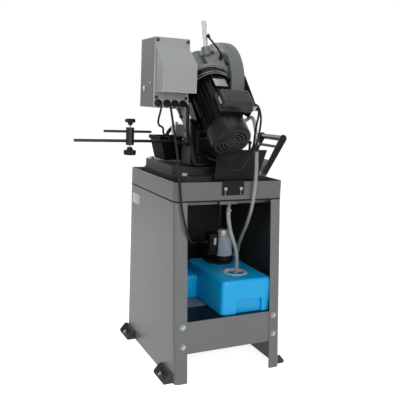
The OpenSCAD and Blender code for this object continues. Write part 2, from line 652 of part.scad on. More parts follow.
// Column
module ear(x0, x1) {
    along_x(x0, x1) {
        translate([pivot_y, pivot_z]) circle(40);
        translate([pivot_y - 40, col_top - 5]) square([80, 50]);
    }
}
module swivel_column() color("#1f2124") difference() {
    union() {
        translate([axis_x, axis_y, ring_z0]) cylinder(h = ring_h, r = ring_r);
        box(col_x0 - 13, ear_r[1], col_y0, col_y1, base_top + 5, col_top);
        ear(ear_l[0], ear_l[1]);
        ear(ear_r[0], ear_r[1]);
        box(90, 98, col_y1 - 5, spring_y + 6, spring_z0 - 8, spring_z0 + 8);
        rod_x(97, spring_x + 5, spring_y, spring_z0, 3);
    }
    translate([axis_x, axis_y, ring_z0 - 1]) cylinder(h = 200, r = post_r + run_c);
    rod_x(ear_l[0] - 1, ear_r[1] + 1, pivot_y, pivot_z, pivot_r + 0.02);
    rod_x(axis_x - ring_r - 5, axis_x - ring_r + 30, axis_y, ring_z0 + 20, 6 + run_c);
}
module pivot_shaft() color("#b0b3b5") rod_x(ear_l[0], ear_r[1], pivot_y, pivot_z, pivot_r);
module miter_lever() color("#1a1b1d") {
    rod_x(axis_x - 207, axis_x - ring_r + 8, axis_y, ring_z0 + 20, 6);
    rod_x(axis_x - 207, axis_x - 187, axis_y, ring_z0 + 20, 12);
    translate([axis_x - 197, axis_y, ring_z0 + 28]) cylinder(h = 62, r = 6);
    translate([axis_x - 197, axis_y, ring_z0 + 90]) sphere(9);
}

// Cabinet
module cabinet_box() color("#a7acae") {
    difference() {
        union() {
            box(cab_x0, cab_x1, cab_y0, cab_y1, cab_z0, cab_z1);
            box(cab_x0 - 1, cab_x1 + 1, cab_y1 - 3, cab_y1, cab_z0 - 1, cab_z1 + 1);
        }
        box(cab_x0 + cab_t, cab_x1 - cab_t, cab_y0 + cab_t, cab_y1 + 1, cab_z0 + cab_t, cab_z1 - cab_t);
        rod_y(cab_y0 - 1, cab_y0 + 9, estop_at[0], estop_at[1], 11.3);
        rod_y(cab_y0 - 1, cab_y0 + 9, start_at[0], start_at[1], 10.3);
        rod_y(cab_y0 - 1, cab_y0 + 9, switch_at[0], switch_at[1], 8.3);
    }
    along_y(116, 120) polygon([[ear_r[1], pivot_z - 35], [142, pivot_z - 10],
        [192, cab_z0], [138, cab_z0], [ear_r[1], pivot_z + 22]]);
    box(ear_r[1], ear_r[1] + 4, 64, 120, pivot_z - 35, pivot_z - 18);
    box(cab_x0, cab_x0 + 35, 64, 120, cab_z0 - 4, cab_z0);
}
module cover_side(inset) {
    y0 = cover_y0;
    polygon([[y0, cab_z0 + 59 + inset], [cover_y1 - inset, cab_z0 + 59 + inset],
        [cover_y1 - inset, cab_z0 + 165 - inset], [y0, cab_z0 + 234 - 1.3 * inset]]);
}
module cabinet_cover() color("#9a9fa2") difference() {
    union() {
        along_x(cab_x0 + 2, cab_x1 - 3) cover_side(0);
        box(cab_x0 - 1, cab_x1 + 1, cab_y1, cover_y0, cab_z0 - 1, cab_z1 + 1);
    }
    along_x(cab_x0 + 2 + cab_t, cab_x1 - 3 - cab_t) cover_side(cab_t);
    box(cab_x0 + 12, cab_x1 - 13, cab_y1 - 1, cover_y0 + 1, cab_z0 + 70, cab_z0 + 150);
}
module cabinet_fittings() color("#151618") {
    for (x = [cab_x0 + 9, cab_x1 - 9], z = [cab_z0 + 40, cab_z1 - 11])
        rod_y(cover_y0, cover_y0 + 4, x, z, 5);
    for (x = glands) {
        rod_y(cover_y0, cover_y0 + 8, x, gland_z, 13.5);
        rod_y(cover_y0 + 7, cover_y0 + 17, x, gland_z, 11);
    }
}
module estop_button() color("#c8281f") {
    rod_y(cab_y0 - 14, cab_y0 + 12, estop_at[0], estop_at[1], 11);
    rod_y(cab_y0 - 24, cab_y0 - 10, estop_at[0], estop_at[1], 20);
}
module start_button() color("#2f9a4a") {
    rod_y(cab_y0 - 9, cab_y0 + 10, start_at[0], start_at[1], 10);
}
module main_switch() color("#1b1c1e") {
    rod_y(cab_y0 - 12, cab_y0 + 12, switch_at[0], switch_at[1], 8);
    rod_y(cab_y0 - 12, cab_y0 - 1, switch_at[0], switch_at[1], 22);
    box(switch_at[0] - 5, switch_at[0] + 5, cab_y0 - 26, cab_y0 - 11, switch_at[1] - 20, switch_at[1] + 20);
}
module cabinet_cables() color("#141517") {
    tube(thinned(gland_route_1), 4);
    tube(thinned(gland_route_3), 4);
    tube(thinned(gland_route_4), 7.5);
}
module supply_cable() color("#1a1b1c") tube(thinned(supply_route), 4.5);
module motor_cables() color("#131415") {
    tube(thinned(motor_route_a), 4);
    tube(thinned(motor_route_b), 4);
}

// Head
module gearbox_housing() color("#84898c") in_head() difference() {
    union() {
        along_x(gear_x0, gear_x1) round_rect(gear_u0, gear_u1, gear_v0, gear_v1, 20);
        along_x(gear_x1 - 5, gear_x2) round_rect(gear_u0 + 2, gear_u1, gear_v0 + 8, gear_v1 - 25, 20);
        rod_y(gear_u1 - 12, gear_u1, motor_x, motor_v, 94);
        rod_y(gear_u0 - 28, gear_u0 + 20, motor_x, motor_v, 40);
        rod_x(boss_x, gear_x0 + 5, 0, 0, boss_r);
        translate([motor_x, lever_base_u, gear_v1]) rotate([lever_a, 0, 0])
            translate([0, 0, -12]) cylinder(h = 34, r = lever_r + 7);
    }
    box(-90, gear_x0, gear_u1 - 14, gear_u1 + 1, motor_v - 110, motor_v + 110);
    rod_x(boss_x - 1, gear_x0 + 4, 0, 0, spindle_r + 2);
    rod_x(gear_x0 + 3, gear_x0 + 20, 0, 0, 38.02);
    rod_x(gear_x0 + 19, 69, 0, 0, 54);
    rod_x(68, 86, 0, 0, 38.02);
    rod_x(85, 90, 0, 0, 22);
    rod_y(gear_u0 - 18, gear_u0 - 3, motor_x, motor_v, 30.02);
    rod_y(gear_u0 - 4, 45, motor_x, motor_v, 24);
    rod_y(44, 60, motor_x, motor_v, 30.02);
    rod_y(59, gear_u1 + 1, motor_x, motor_v, 17);
    translate([motor_x, lever_base_u, gear_v1]) rotate([lever_a, 0, 0])
        translate([0, 0, 1]) cylinder(h = 60, r = lever_r + 0.02);
    translate([20, -38, gear_v1 - 8]) cylinder(h = 20, r = 6.05);
}
module bearings() color("#b9bcbf") in_head() {
    for (x = [gear_x0 + 3.5, 69]) difference() {
        rod_x(x, x + 16, 0, 0, 38);
        rod_x(x - 1, x + 17, 0, 0, spindle_r + run_c);
    }
    for (u = [gear_u0 - 17.5, 45]) difference() {
        rod_y(u, u + 14, motor_x, motor_v, 30);
        rod_y(u - 1, u + 15, motor_x, motor_v, shaft_r + run_c);
    }
}
module spindle() color("#a5a8aa") in_head() {
    difference() {
        union() {
            rod_x(blade_x + blade_t / 2, 88, 0, 0, spindle_r);
            rod_x(blade_x + blade_t / 2, boss_x - 0.4, 0, 0, 38);
            rod_x(blade_x - 8, blade_x + 5, 0, 0, nose_r);
            rod_x(36, 64, 0, 0, wheel_cut_r);
        }
        for (i = [0:35]) rotate([i * 10, 0, 0]) box(35, 65, -1.8, 1.8, wheel_cut_r - 5, wheel_cut_r + 5);
        rod_x(blade_x - 9, blade_x + 12, 0, 0, 6.1);
    }
    difference() {
        rod_x(blade_x - blade_t / 2 - 9, blade_x - blade_t / 2, 0, 0, 38);
        rod_x(blade_x - 8.1, blade_x, 0, 0, nose_r + 0.05);
        rod_x(blade_x - 20, blade_x, 0, 0, 6.1);
    }
    rod_x(blade_x - blade_t / 2 - 9, blade_x + 10, 0, 0, 5.9);
    translate([blade_x - blade_t / 2 - 16, 0, 0]) rotate([0, 90, 0]) cylinder(h = 7, r = 11, $fn = 6);
}
module blade() color("#c9cccd") in_head() difference() {
    rod_x(blade_x - blade_t / 2, blade_x + blade_t / 2, 0, 0, blade_r);
    rod_x(blade_x - 5, blade_x + 5, 0, 0, nose_r + 0.02);
    for (i = [0:59]) rotate([i * 6, 0, 0]) translate([0, 0, blade_r]) rotate([0, 90, 0])
        rotate(20) cylinder(h = 120, r = 4.5, center = true, $fn = 3);
}
module guard_side() {
    intersection() {
        circle(guard_r);
        translate([-guard_r - 5, -60]) square([2 * guard_r + 10, guard_r + 70]);
    }
}
module guard_inner(r) {
    intersection() {
        circle(r);
        translate([-guard_r - 5, -70]) square([2 * guard_r + 10, guard_r + 80]);
    }
}
module blade_guard() color("#888d90") in_head() difference() {
    union() {
        along_x(guard_x0, guard_split) guard_side();
        along_x(guard_split, guard_x1) intersection() {
            guard_side();
            circle(guard_r - 3);
        }
        rod_y(guard_r - 8, guard_r + 14, blade_x - 12, 0, 9);
    }
    along_x(guard_x0 + 3, guard_x1 - 3) guard_inner(guard_r - 6.5);
    rod_x(guard_x1 - 10, guard_x1 + 1, 0, 0, boss_r + 1);
    rod_y(guard_r - 10, guard_r + 20, blade_x - 12, 0, 4);
}
module splash_tail() color("#1c1e20") in_head() along_x(guard_x0 - 4, guard_x0) {
    polygon([[99, 150], [250, 133], [250, 60], [170, 20], [150, 20], [120, 60]]);
}
module lower_guard() color("#202225") in_head() difference() {
    x0 = blade_x - 14;
    x1 = blade_x + 14;
    a0 = 205;
    a1 = 341;
    union() {
        difference() {
            rod_x(x0, x1, 0, 0, 171);
            rod_x(x0 + 2, x1 - 2, 0, 0, 168.5);
            rod_x(x0 - 1, x0 + 5, 0, 0, 80);
            along_x(x0 - 1, x1 + 1) polygon([[0, 0], [400 * cos(a1), 400 * sin(a1)], [400, 400],
                [-400, 400], [400 * cos(a0), 400 * sin(a0)]]);
        }
        rod_x(x1 - 2, x1 + 4, 0, 0, boss_r + 10);
    }
    rod_x(x1 - 5, x1 + 10, 0, 0, boss_r + run_c);
}
module head_arm() color("#1d1f22") difference() {
    union() {
        in_head() along_x(15, 92) polygon([[gear_u1, -28], [arm_u, arm_v + 35.9],
            [arm_u, arm_v - 35.9], [150, -104], [122, -74], [gear_u1, -67]]);
        rod_x(ear_l[1] + 0.3, ear_r[0] - 0.3, pivot_y, pivot_z, 36);
        along_x(76, 96) polygon([[pivot_y, pivot_z + 20], [spring_y, spring_z1 + 8],
            [spring_y + 6, spring_z1 - 6], [pivot_y + 20, pivot_z - 14]]);
        rod_x(95, spring_x + 5, spring_y, spring_z1, 3);
    }
    rod_x(-10, 140, pivot_y, pivot_z, pivot_r + run_c);
}
module motor_body() color("#232528") in_head() difference() {
    union() {
        rod_y(motor_u0, shield_u, motor_x, motor_v, 88);
        rod_y(shield_u - 1, lip_u, motor_x, motor_v, 93);
        rod_y(lip_u - 1, barrel_u, motor_x, motor_v, motor_r - 8);
        rod_y(barrel_u - 7, barrel_u, motor_x, motor_v, motor_r + 1);
        for (i = [0:27]) translate([motor_x, 0, motor_v]) rotate([0, i * 360 / 28, 0])
            box(-1.6, 1.6, lip_u - 1, barrel_u - 6, motor_r - 12, motor_r);
        box(5, 95, 215, 320, motor_v + 45, motor_v + 79);
        box(32, 80, lip_u + 3, lip_u + 48, motor_v + 50, motor_v + 82);
    }
    rod_y(motor_u0 + 8, barrel_u + 1, motor_x, motor_v, motor_r - 18);
    rod_y(motor_u0 - 1, motor_u0 + 20, motor_x, motor_v, 17);
    box(-90, guard_x1 + 0.4, motor_u0 - 1, guard_r, motor_v - 110, motor_v + 110);
}
module motor_box() color("#1f2124") in_head() {
    difference() {
        union() {
            along_y(225, 313) round_rect(-34, 98, motor_v + 86, motor_v + 122, 10);
            along_y(225, 313) round_rect(-36, 105, motor_v + 79, motor_v + 92, 2);
        }
        along_y(229, 309) round_rect(-30, 94, motor_v + 83, motor_v + 118, 6);
    }
    rod_x(-48, -34, 303, 160, 7.5);
    rod_x(-48, -34, 282, 160, 7.5);
}
module fan_cover() color("#1a1c1e") in_head() translate([motor_x, barrel_u + 0.2, motor_v]) difference() {
    l = fan_u - barrel_u;
    rotate([-90, 0, 0]) rotate_extrude() difference() {
        union() {
            square([motor_r - 9, l]);
            square([motor_r + 1, l - 10]);
            translate([motor_r - 9, l - 10]) circle(10);
        }
        square([motor_r - 11, l - 3]);
        square([motor_r - 2, l - 12]);
        translate([motor_r - 12, l - 12]) circle(9.5);
        translate([-100, -100]) square([300, 100]);
        translate([-100, -1]) square([100, 200]);
    }
    for (r = [26, 40, 54]) intersection() {
        difference() {
            rod_y(l - 5, l + 1, 0, 0, r + 5);
            rod_y(l - 6, l + 2, 0, 0, r);
        }
        for (a = [0, 90, 180, 270]) rotate([0, a + 12, 0]) translate([0, l - 6, 0])
            rotate([-90, 0, 0]) linear_extrude(8) polygon([[8, 0], [90, 0], [90, 90], [8, 90]]);
    }
}
module worm_shaft() color("#9a9da0") in_head() {
    rod_y(gear_u0 - 17, fan_u - 16, motor_x, motor_v, shaft_r);
    difference() {
        rod_y(gear_u0 + 14, 40, motor_x, motor_v, worm_r);
        for (u = [gear_u0 + 20:8:34]) difference() {
            rod_y(u, u + 3.5, motor_x, motor_v, worm_r + 1);
            rod_y(u - 1, u + 5, motor_x, motor_v, shaft_r + 0.5);
        }
    }
    rod_y(lip_u + 20, barrel_u - 30, motor_x, motor_v, motor_r - 24);
    rod_y(barrel_u + 14, barrel_u + 24, motor_x, motor_v, 30);
    for (i = [0:7]) translate([motor_x, 0, motor_v]) rotate([0, i * 45, 0])
        box(-1.5, 1.5, barrel_u + 14, barrel_u + 44, 12, motor_r - 14);
}
module oil_plug() color("#b3231c") in_head() {
    translate([20, -38, gear_v1 - 7]) cylinder(h = 10, r = 6);
    translate([20, -38, gear_v1]) cylinder(h = 7, r = 9);
}

// Lever, with the grip pointing to the operator
module in_lever() {
    in_head() translate([motor_x, lever_base_u, gear_v1]) rotate([lever_a, 0, 0]) children();
}
module in_grip() {
    in_lever() translate([0, 0, lever_l - 16]) rotate([-lever_a + head_tilt, 0, 0]) rotate([0, 0, -25.3])
        rotate([82.3, 0, 0]) children();
}
module lever() color("#c9ccce") difference() {
    union() {
        in_lever() translate([0, 0, 2]) cylinder(h = lever_l - 2, r = lever_r);
        in_grip() cylinder(h = 150, r = 9);
    }
    in_lever() translate([0, 0, 1]) cylinder(h = lever_l - 30, r = lever_r - 2.5);
}
module lever_grip() color("#17181a") in_grip() difference() {
    translate([0, 0, 30]) cylinder(h = 118, r = 14);
    translate([0, 0, 29]) cylinder(h = 125, r = 9.02);
    for (z = [58:9:140]) translate([0, 0, z]) rotate_extrude() translate([14.6, 0]) circle(1.6);
    box(-6, 6, -16, -9.5, 29, 50);
}
module trigger() color("#24262a") in_grip() {
    rod_x(-5.4, 5.4, -13, 36, 2.2);
    box(-5, 5, -28, -11.5, 32, 40);
    box(-5, 5, -30, -23, 32, 90);
}
module lever_cable() color("#1a1a1b") tube(thinned(lever_route), 4);

// Return spring, with an eye at each end
coil_n = 33;
coil_r = 6;
wire_r = 1;
eye_r = 4.6;
coil_z0 = spring_z0 + 16;
coil_z1 = spring_z1 - 16;
coil_p = (coil_z1 - coil_z0) / coil_n;
spring_path = concat(
    [for (a = [0:45:225]) [0, eye_r * cos(a - 45), spring_z0 - eye_r * sin(a - 45)]],
    [[0, -1, spring_z0 + 8], [coil_r * 0.5, 0, spring_z0 + 12]],
    [for (i = [0:coil_n * 8]) [coil_r * cos(45 * i), coil_r * sin(45 * i), coil_z0 + coil_p * i / 8]],
    [[coil_r * 0.5, 0, spring_z1 - 12], [0, -1, spring_z1 - 8]],
    [for (a = [0:45:225]) [0, eye_r * cos(180 + a), spring_z1 + eye_r * sin(180 + a)]]);
coil_gap = coil_p - 2 * wire_r;
echo(coil_gap = coil_gap);
module return_spring() color("#3a3d3f") translate([spring_x, spring_y, 0]) tube(spring_path, wire_r, 6);

stand_shell();
rear_rails();
tank_shelf();
floor_feet();
stand_fasteners();
tray();
hose_fittings();
coolant_tank();
pump_base();
pump_motor();
pump_box();
pump_rotor();
drain_hose();
coolant_hose();
base_casting();
vise_bed();
fixed_jaws();
chute();
splash_plate();
stop_rod();
roller_frame();
roller();
moving_jaw();
vise_screw();
handwheel();
stop_barrel();
stop_pointer();
stop_knob_upper();
stop_knob_lower();
swivel_column();
pivot_shaft();
miter_lever();
cabinet_box();
cabinet_cover();
cabinet_fittings();
estop_button();
start_button();
main_switch();
cabinet_cables();
supply_cable();
gearbox_housing();
head_arm();
motor_body();
motor_box();
fan_cover();
blade_guard();
splash_tail();
lower_guard();
blade();
spindle();
worm_shaft();
bearings();
lever();
lever_grip();
trigger();
lever_cable();
oil_plug();
motor_cables();
coolant_branch();
return_spring();
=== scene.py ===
"""Looks of a pedestal cold saw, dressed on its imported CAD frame."""

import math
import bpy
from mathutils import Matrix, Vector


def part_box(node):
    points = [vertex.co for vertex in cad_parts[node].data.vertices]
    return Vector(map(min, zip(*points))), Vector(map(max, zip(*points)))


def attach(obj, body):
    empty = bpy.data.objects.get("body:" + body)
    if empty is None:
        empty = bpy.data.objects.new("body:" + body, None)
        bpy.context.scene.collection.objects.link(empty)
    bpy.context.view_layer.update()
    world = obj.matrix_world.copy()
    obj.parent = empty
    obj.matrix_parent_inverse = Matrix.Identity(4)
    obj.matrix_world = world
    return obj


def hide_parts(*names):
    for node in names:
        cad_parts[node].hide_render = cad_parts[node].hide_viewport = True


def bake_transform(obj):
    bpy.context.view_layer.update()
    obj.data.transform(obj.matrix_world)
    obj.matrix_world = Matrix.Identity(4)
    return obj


bl_info = {
    "name": "Cold saw",
    "version": (1, 0, 0),
    "blender": (4, 5, 0),
    "location": "3D View > Sidebar > Cold saw",
    "description": "Dresses the cold saw's frame with hoses, cables, fittings and finishes",
    "category": "Object",
}

import bmesh
import bpy
from mathutils import Matrix, Vector

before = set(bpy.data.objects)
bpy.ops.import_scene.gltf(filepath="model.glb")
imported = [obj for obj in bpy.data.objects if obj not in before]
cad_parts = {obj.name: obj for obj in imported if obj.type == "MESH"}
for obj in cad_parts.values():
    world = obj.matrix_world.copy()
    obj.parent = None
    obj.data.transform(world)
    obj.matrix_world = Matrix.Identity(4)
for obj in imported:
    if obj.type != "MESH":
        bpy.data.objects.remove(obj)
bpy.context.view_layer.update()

# Camera of the photograph, in millimetres and degrees
CAMERA_AIM = Vector((10.07, 0.0, 680.71))
CAMERA_DISTANCE = 2517.21
CAMERA_AZIMUTH, CAMERA_ELEVATION, CAMERA_ROLL = 154.2, 9.69, 2.51
CAMERA_LENS = 50.99

# The head's own frame: spindle centre and tilt
SPINDLE = Vector((0.0, 4.436, 1180.972))
HEAD_TILT = math.radians(-43.0)

# Routes of the hoses and cables, in millimetres, as the solids have them
DRAIN = [(-5, 240, 689), (-5, 240, 665), (-8, 239, 640), (-14, 237, 615), (-21, 234, 593),
         (-30, 230, 572), (-41, 225, 550), (-52, 219, 530), (-62, 212, 510), (-71, 206, 490),
         (-78, 200, 468), (-83, 195, 445), (-86, 190, 420), (-87, 186, 395), (-87, 184, 370)]
COOLANT = [(-178, 16, 440), (-178, 26, 440), (-176, 38, 443), (-170, 52, 452), (-161, 68, 465),
           (-150, 86, 482), (-141, 108, 503), (-133, 135, 532), (-124, 168, 568), (-115, 205, 607),
           (-105, 240, 650), (-98, 268, 697), (-95, 284, 752), (-96, 288, 810), (-96, 288, 860),
           (-95, 286, 900), (-94, 285, 937)]
BRANCH = [(-94, 285, 937.3), (-94, 285, 950), (-93, 284, 962), (-92, 281, 978), (-92, 276, 996),
          (-92, 269, 1014), (-93, 260, 1032), (-94, 249, 1046), (-94, 236, 1055), (-93, 220, 1056),
          (-89, 204, 1047), (-76, 187, 1033), (-62, 169.7, 1026.8), (-62, 158.7, 1037.1),
          (-62, 148.1, 1047)]
MOTOR_A = [(-49.5, 335, 1091), (-54, 335, 1091), (-59, 336, 1088), (-61, 339, 1078),
           (-58, 342, 1062), (-54, 343, 1044), (-52, 341, 1024), (-53, 334, 1000), (-56, 326, 978),
           (-59, 318, 958), (-58, 311, 940), (-49, 306, 918), (-32, 301, 892), (-12, 296, 870),
           (8, 288, 866), (28, 274, 880), (54, 256, 895), (64, 236, 903), (62, 205, 909),
           (48, 165, 910), (45, 131.2, 910)]
MOTOR_B = [(-49.5, 320, 1106), (-57, 320, 1106), (-64, 322, 1103), (-69, 328, 1092),
           (-71, 336, 1072), (-71, 341, 1050), (-70, 341, 1025), (-70, 335, 996), (-70, 328, 972),
           (-68, 321, 950), (-59, 315, 926), (-45, 311, 900), (-28, 309, 874), (-8, 307, 856),
           (14, 302, 852), (36, 288, 864), (60, 266, 880), (82, 240, 888), (84, 205, 895),
           (70, 165, 900), (64, 131.2, 900)]
SUPPLY = [(248, 172, 1098), (248, 174.5, 1098), (248, 177, 1098), (248, 185, 1096),
          (247.5, 192, 1090), (246.5, 196.5, 1080), (244, 200, 1062), (240.5, 203.5, 1037),
          (238, 212, 1006), (238, 225, 980), (237, 238, 952), (237, 252, 918),
          (237, 264, 880), (235, 272, 840), (232, 276, 800), (228, 279, 755), (223, 283, 705),
          (213, 289, 655), (201, 292, 612), (185, 286, 580), (166, 262, 560), (143, 222, 548),
          (113, 172, 536), (78, 115, 522), (45, 55, 506), (25, 22, 496), (5, 8, 490),
          (-14, 5, 488), (-33, 5, 488)]
GLAND_1 = [(284, 172, 1098), (284, 174.5, 1098), (284, 177, 1098), (284, 184, 1096.3),
           (284, 190, 1091), (284.5, 193, 1083), (286.5, 191, 1066), (289, 184, 1045),
           (288.5, 176, 1026), (281, 168.5, 1013), (269, 165, 1008), (261, 161, 1000),
           (259, 157, 990), (256, 152, 982), (245, 143, 974), (222, 128, 961), (188, 112, 946),
           (158, 106, 938), (126.4, 104, 935)]
GLAND_3 = [(214, 172, 1098), (214, 174.5, 1098), (214, 177, 1098), (214, 184, 1096.3),
           (213, 190, 1091), (211, 192.5, 1083), (207, 190.5, 1072), (200.5, 182, 1062.5),
           (193, 170, 1056.5), (186, 159, 1053.5), (180, 150, 1052), (172, 136, 1049),
           (170, 121.6, 1048)]
CONDUIT = [(180, 172, 1098), (180, 175, 1098), (180, 178, 1098), (180, 190, 1096), (180, 200, 1090),
           (179.5, 207, 1079), (179, 208, 1064), (176, 201, 1040), (169, 186, 1014),
           (158, 167, 988), (146, 149, 965), (132, 141.5, 945), (122, 139.5, 925), (119, 145, 892),
           (114.5, 153, 862), (97, 163, 858), (78, 160, 858), (78, 145, 858), (78, 130.5, 858)]
LEVER_CABLE = [(40, 68, 1380), (38, 74, 1374), (36, 82, 1365), (31, 90, 1356), (26, 97, 1347),
               (20, 103, 1338), (14, 108, 1329), (7, 111, 1319), (0, 112, 1308), (-4, 109, 1297),
               (-5, 103.2, 1286.8)]

# Places that several pieces share, in millimetres
CABINET_SIDE_X, CABINET_FRONT_Y, COVER_FACE_Y = 301, -2, 155
GLANDS_X, GLAND_Z = (284, 248, 214, 180), 1098
TANK_LOW_Z, TANK_STEP_Z, TANK_TOP_Z = 247, 350, 393
FILLER_X, FILLER_Y, PUMP_X = -86, 178, -118
MOTOR_X, MOTOR_V = 50, 68
ANCHORS = [(x, y) for x in (-265, 265) for y in (-229, 229)]


def linear(code):
    """Turns an sRGB hex colour into linear red, green, blue and alpha."""
    parts = [int(code[i:i + 2], 16) / 255 for i in (0, 2, 4)]
    return tuple(c / 12.92 if c <= 0.04045 else ((c + 0.055) / 1.055) ** 2.4 for c in parts) + (1.0,)


def per_metre(size_mm):
    """Texture scale that repeats about once in size_mm."""
    return 1000.0 / size_mm


def metres(point_mm):
    return Vector(point_mm) / 1000.0


def head(x, u, v):
    """A point of the tilted head's frame, in the saw's frame and millimetres."""
    return SPINDLE + Matrix.Rotation(HEAD_TILT, 3, "X") @ Vector((x, u, v))


def as_is(x, y, z):
    return Vector((x, y, z))


def on_head_side(u, v, x):
    """Axes of a slab that lies on a face of the head looking along X."""
    return head(x, u, v)


def on_side(y, z, x):
    """Axes of a slab that lies on a face looking along X."""
    return Vector((x, y, z))


def on_rear(x, z, y):
    """Axes of a slab that lies on a face looking along Y."""
    return Vector((x, y, z))


# Settings that a user may change

def colour_setting(title, code, text):
    return bpy.props.FloatVectorProperty(
        name=title, description=text, subtype="COLOR", size=3, min=0.0, max=1.0,
        default=linear(code)[:3])


def size_setting(title, size_mm, text):
    return bpy.props.FloatProperty(
        name=title, description=text, subtype="DISTANCE", unit="LENGTH", min=0.0,
        default=size_mm / 1000.0, precision=4)


class ColdSawColours(bpy.types.PropertyGroup):
    sheet: colour_setting("Stand sheet", "7c7e7e", "Powder coat of the stand and tray")
    casting: colour_setting("Castings", "7b7f80", "Enamel of the base, vise and gearbox castings")
    guard: colour_setting("Blade guard", "757879", "Enamel of the blade guard")
    cabinet: colour_setting("Cabinet cover", "aaacac", "Powder coat of the cabinet's rear cover")
    black: colour_setting("Black parts", "0d0e0f", "Black paint of the column, motor and chute")
    tank: colour_setting("Coolant tank", "06baff", "Polyethylene of the coolant tank")
    pump: colour_setting("Pump body", "aab7c0", "Enamel of the coolant pump")


class ColdSawSizes(bpy.types.PropertyGroup):
    coolant_hose: size_setting("Coolant hose", 15.0, "Outer diameter of the coolant hose")
    drain_hose: size_setting("Drain hose", 18.0, "Outer diameter of the drain hose")
    conduit: size_setting("Conduit", 15.0, "Outer diameter of the corrugated conduit")
    control_cable: size_setting("Control cable", 8.0, "Outer diameter of motor and control cables")
    supply_cable: size_setting("Pump cable", 9.0, "Outer diameter of the pump's cable")
    spring_wire: size_setting("Spring wire", 2.0, "Wire diameter of the return spring")
    tank_edge: size_setting("Tank edge", 14.0, "Edge radius of the moulded coolant tank")
    white_floor: bpy.props.FloatProperty(
        name="Floor whiteness", description="Light that the floor adds to itself for the camera",
        default=0.885, min=0.0, max=1.0, subtype="FACTOR")


class ColdSawSettings(bpy.types.PropertyGroup):
    colours: bpy.props.PointerProperty(type=ColdSawColours)
    sizes: bpy.props.PointerProperty(type=ColdSawSizes)


def settings():
    return bpy.context.scene.cold_saw


# Materials

def add(tree, kind, values=None, links=None, **options):
    """Adds one shader node with its options, socket values and incoming links."""
    node = tree.nodes.new("ShaderNode" + kind)
    for name, value in options.items():
        setattr(node, name, value)
    for socket, value in (values or {}).items():
        node.inputs[socket].default_value = value
    for socket, source in (links or {}).items():
        tree.links.new(source, node.inputs[socket])
    return node


# Sockets of a colour Mix node and of a Map Range node
FACTOR, FIRST, SECOND = 0, 6, 7
FROM_LOW, FROM_HIGH, TO_LOW, TO_HIGH = 1, 2, 3, 4


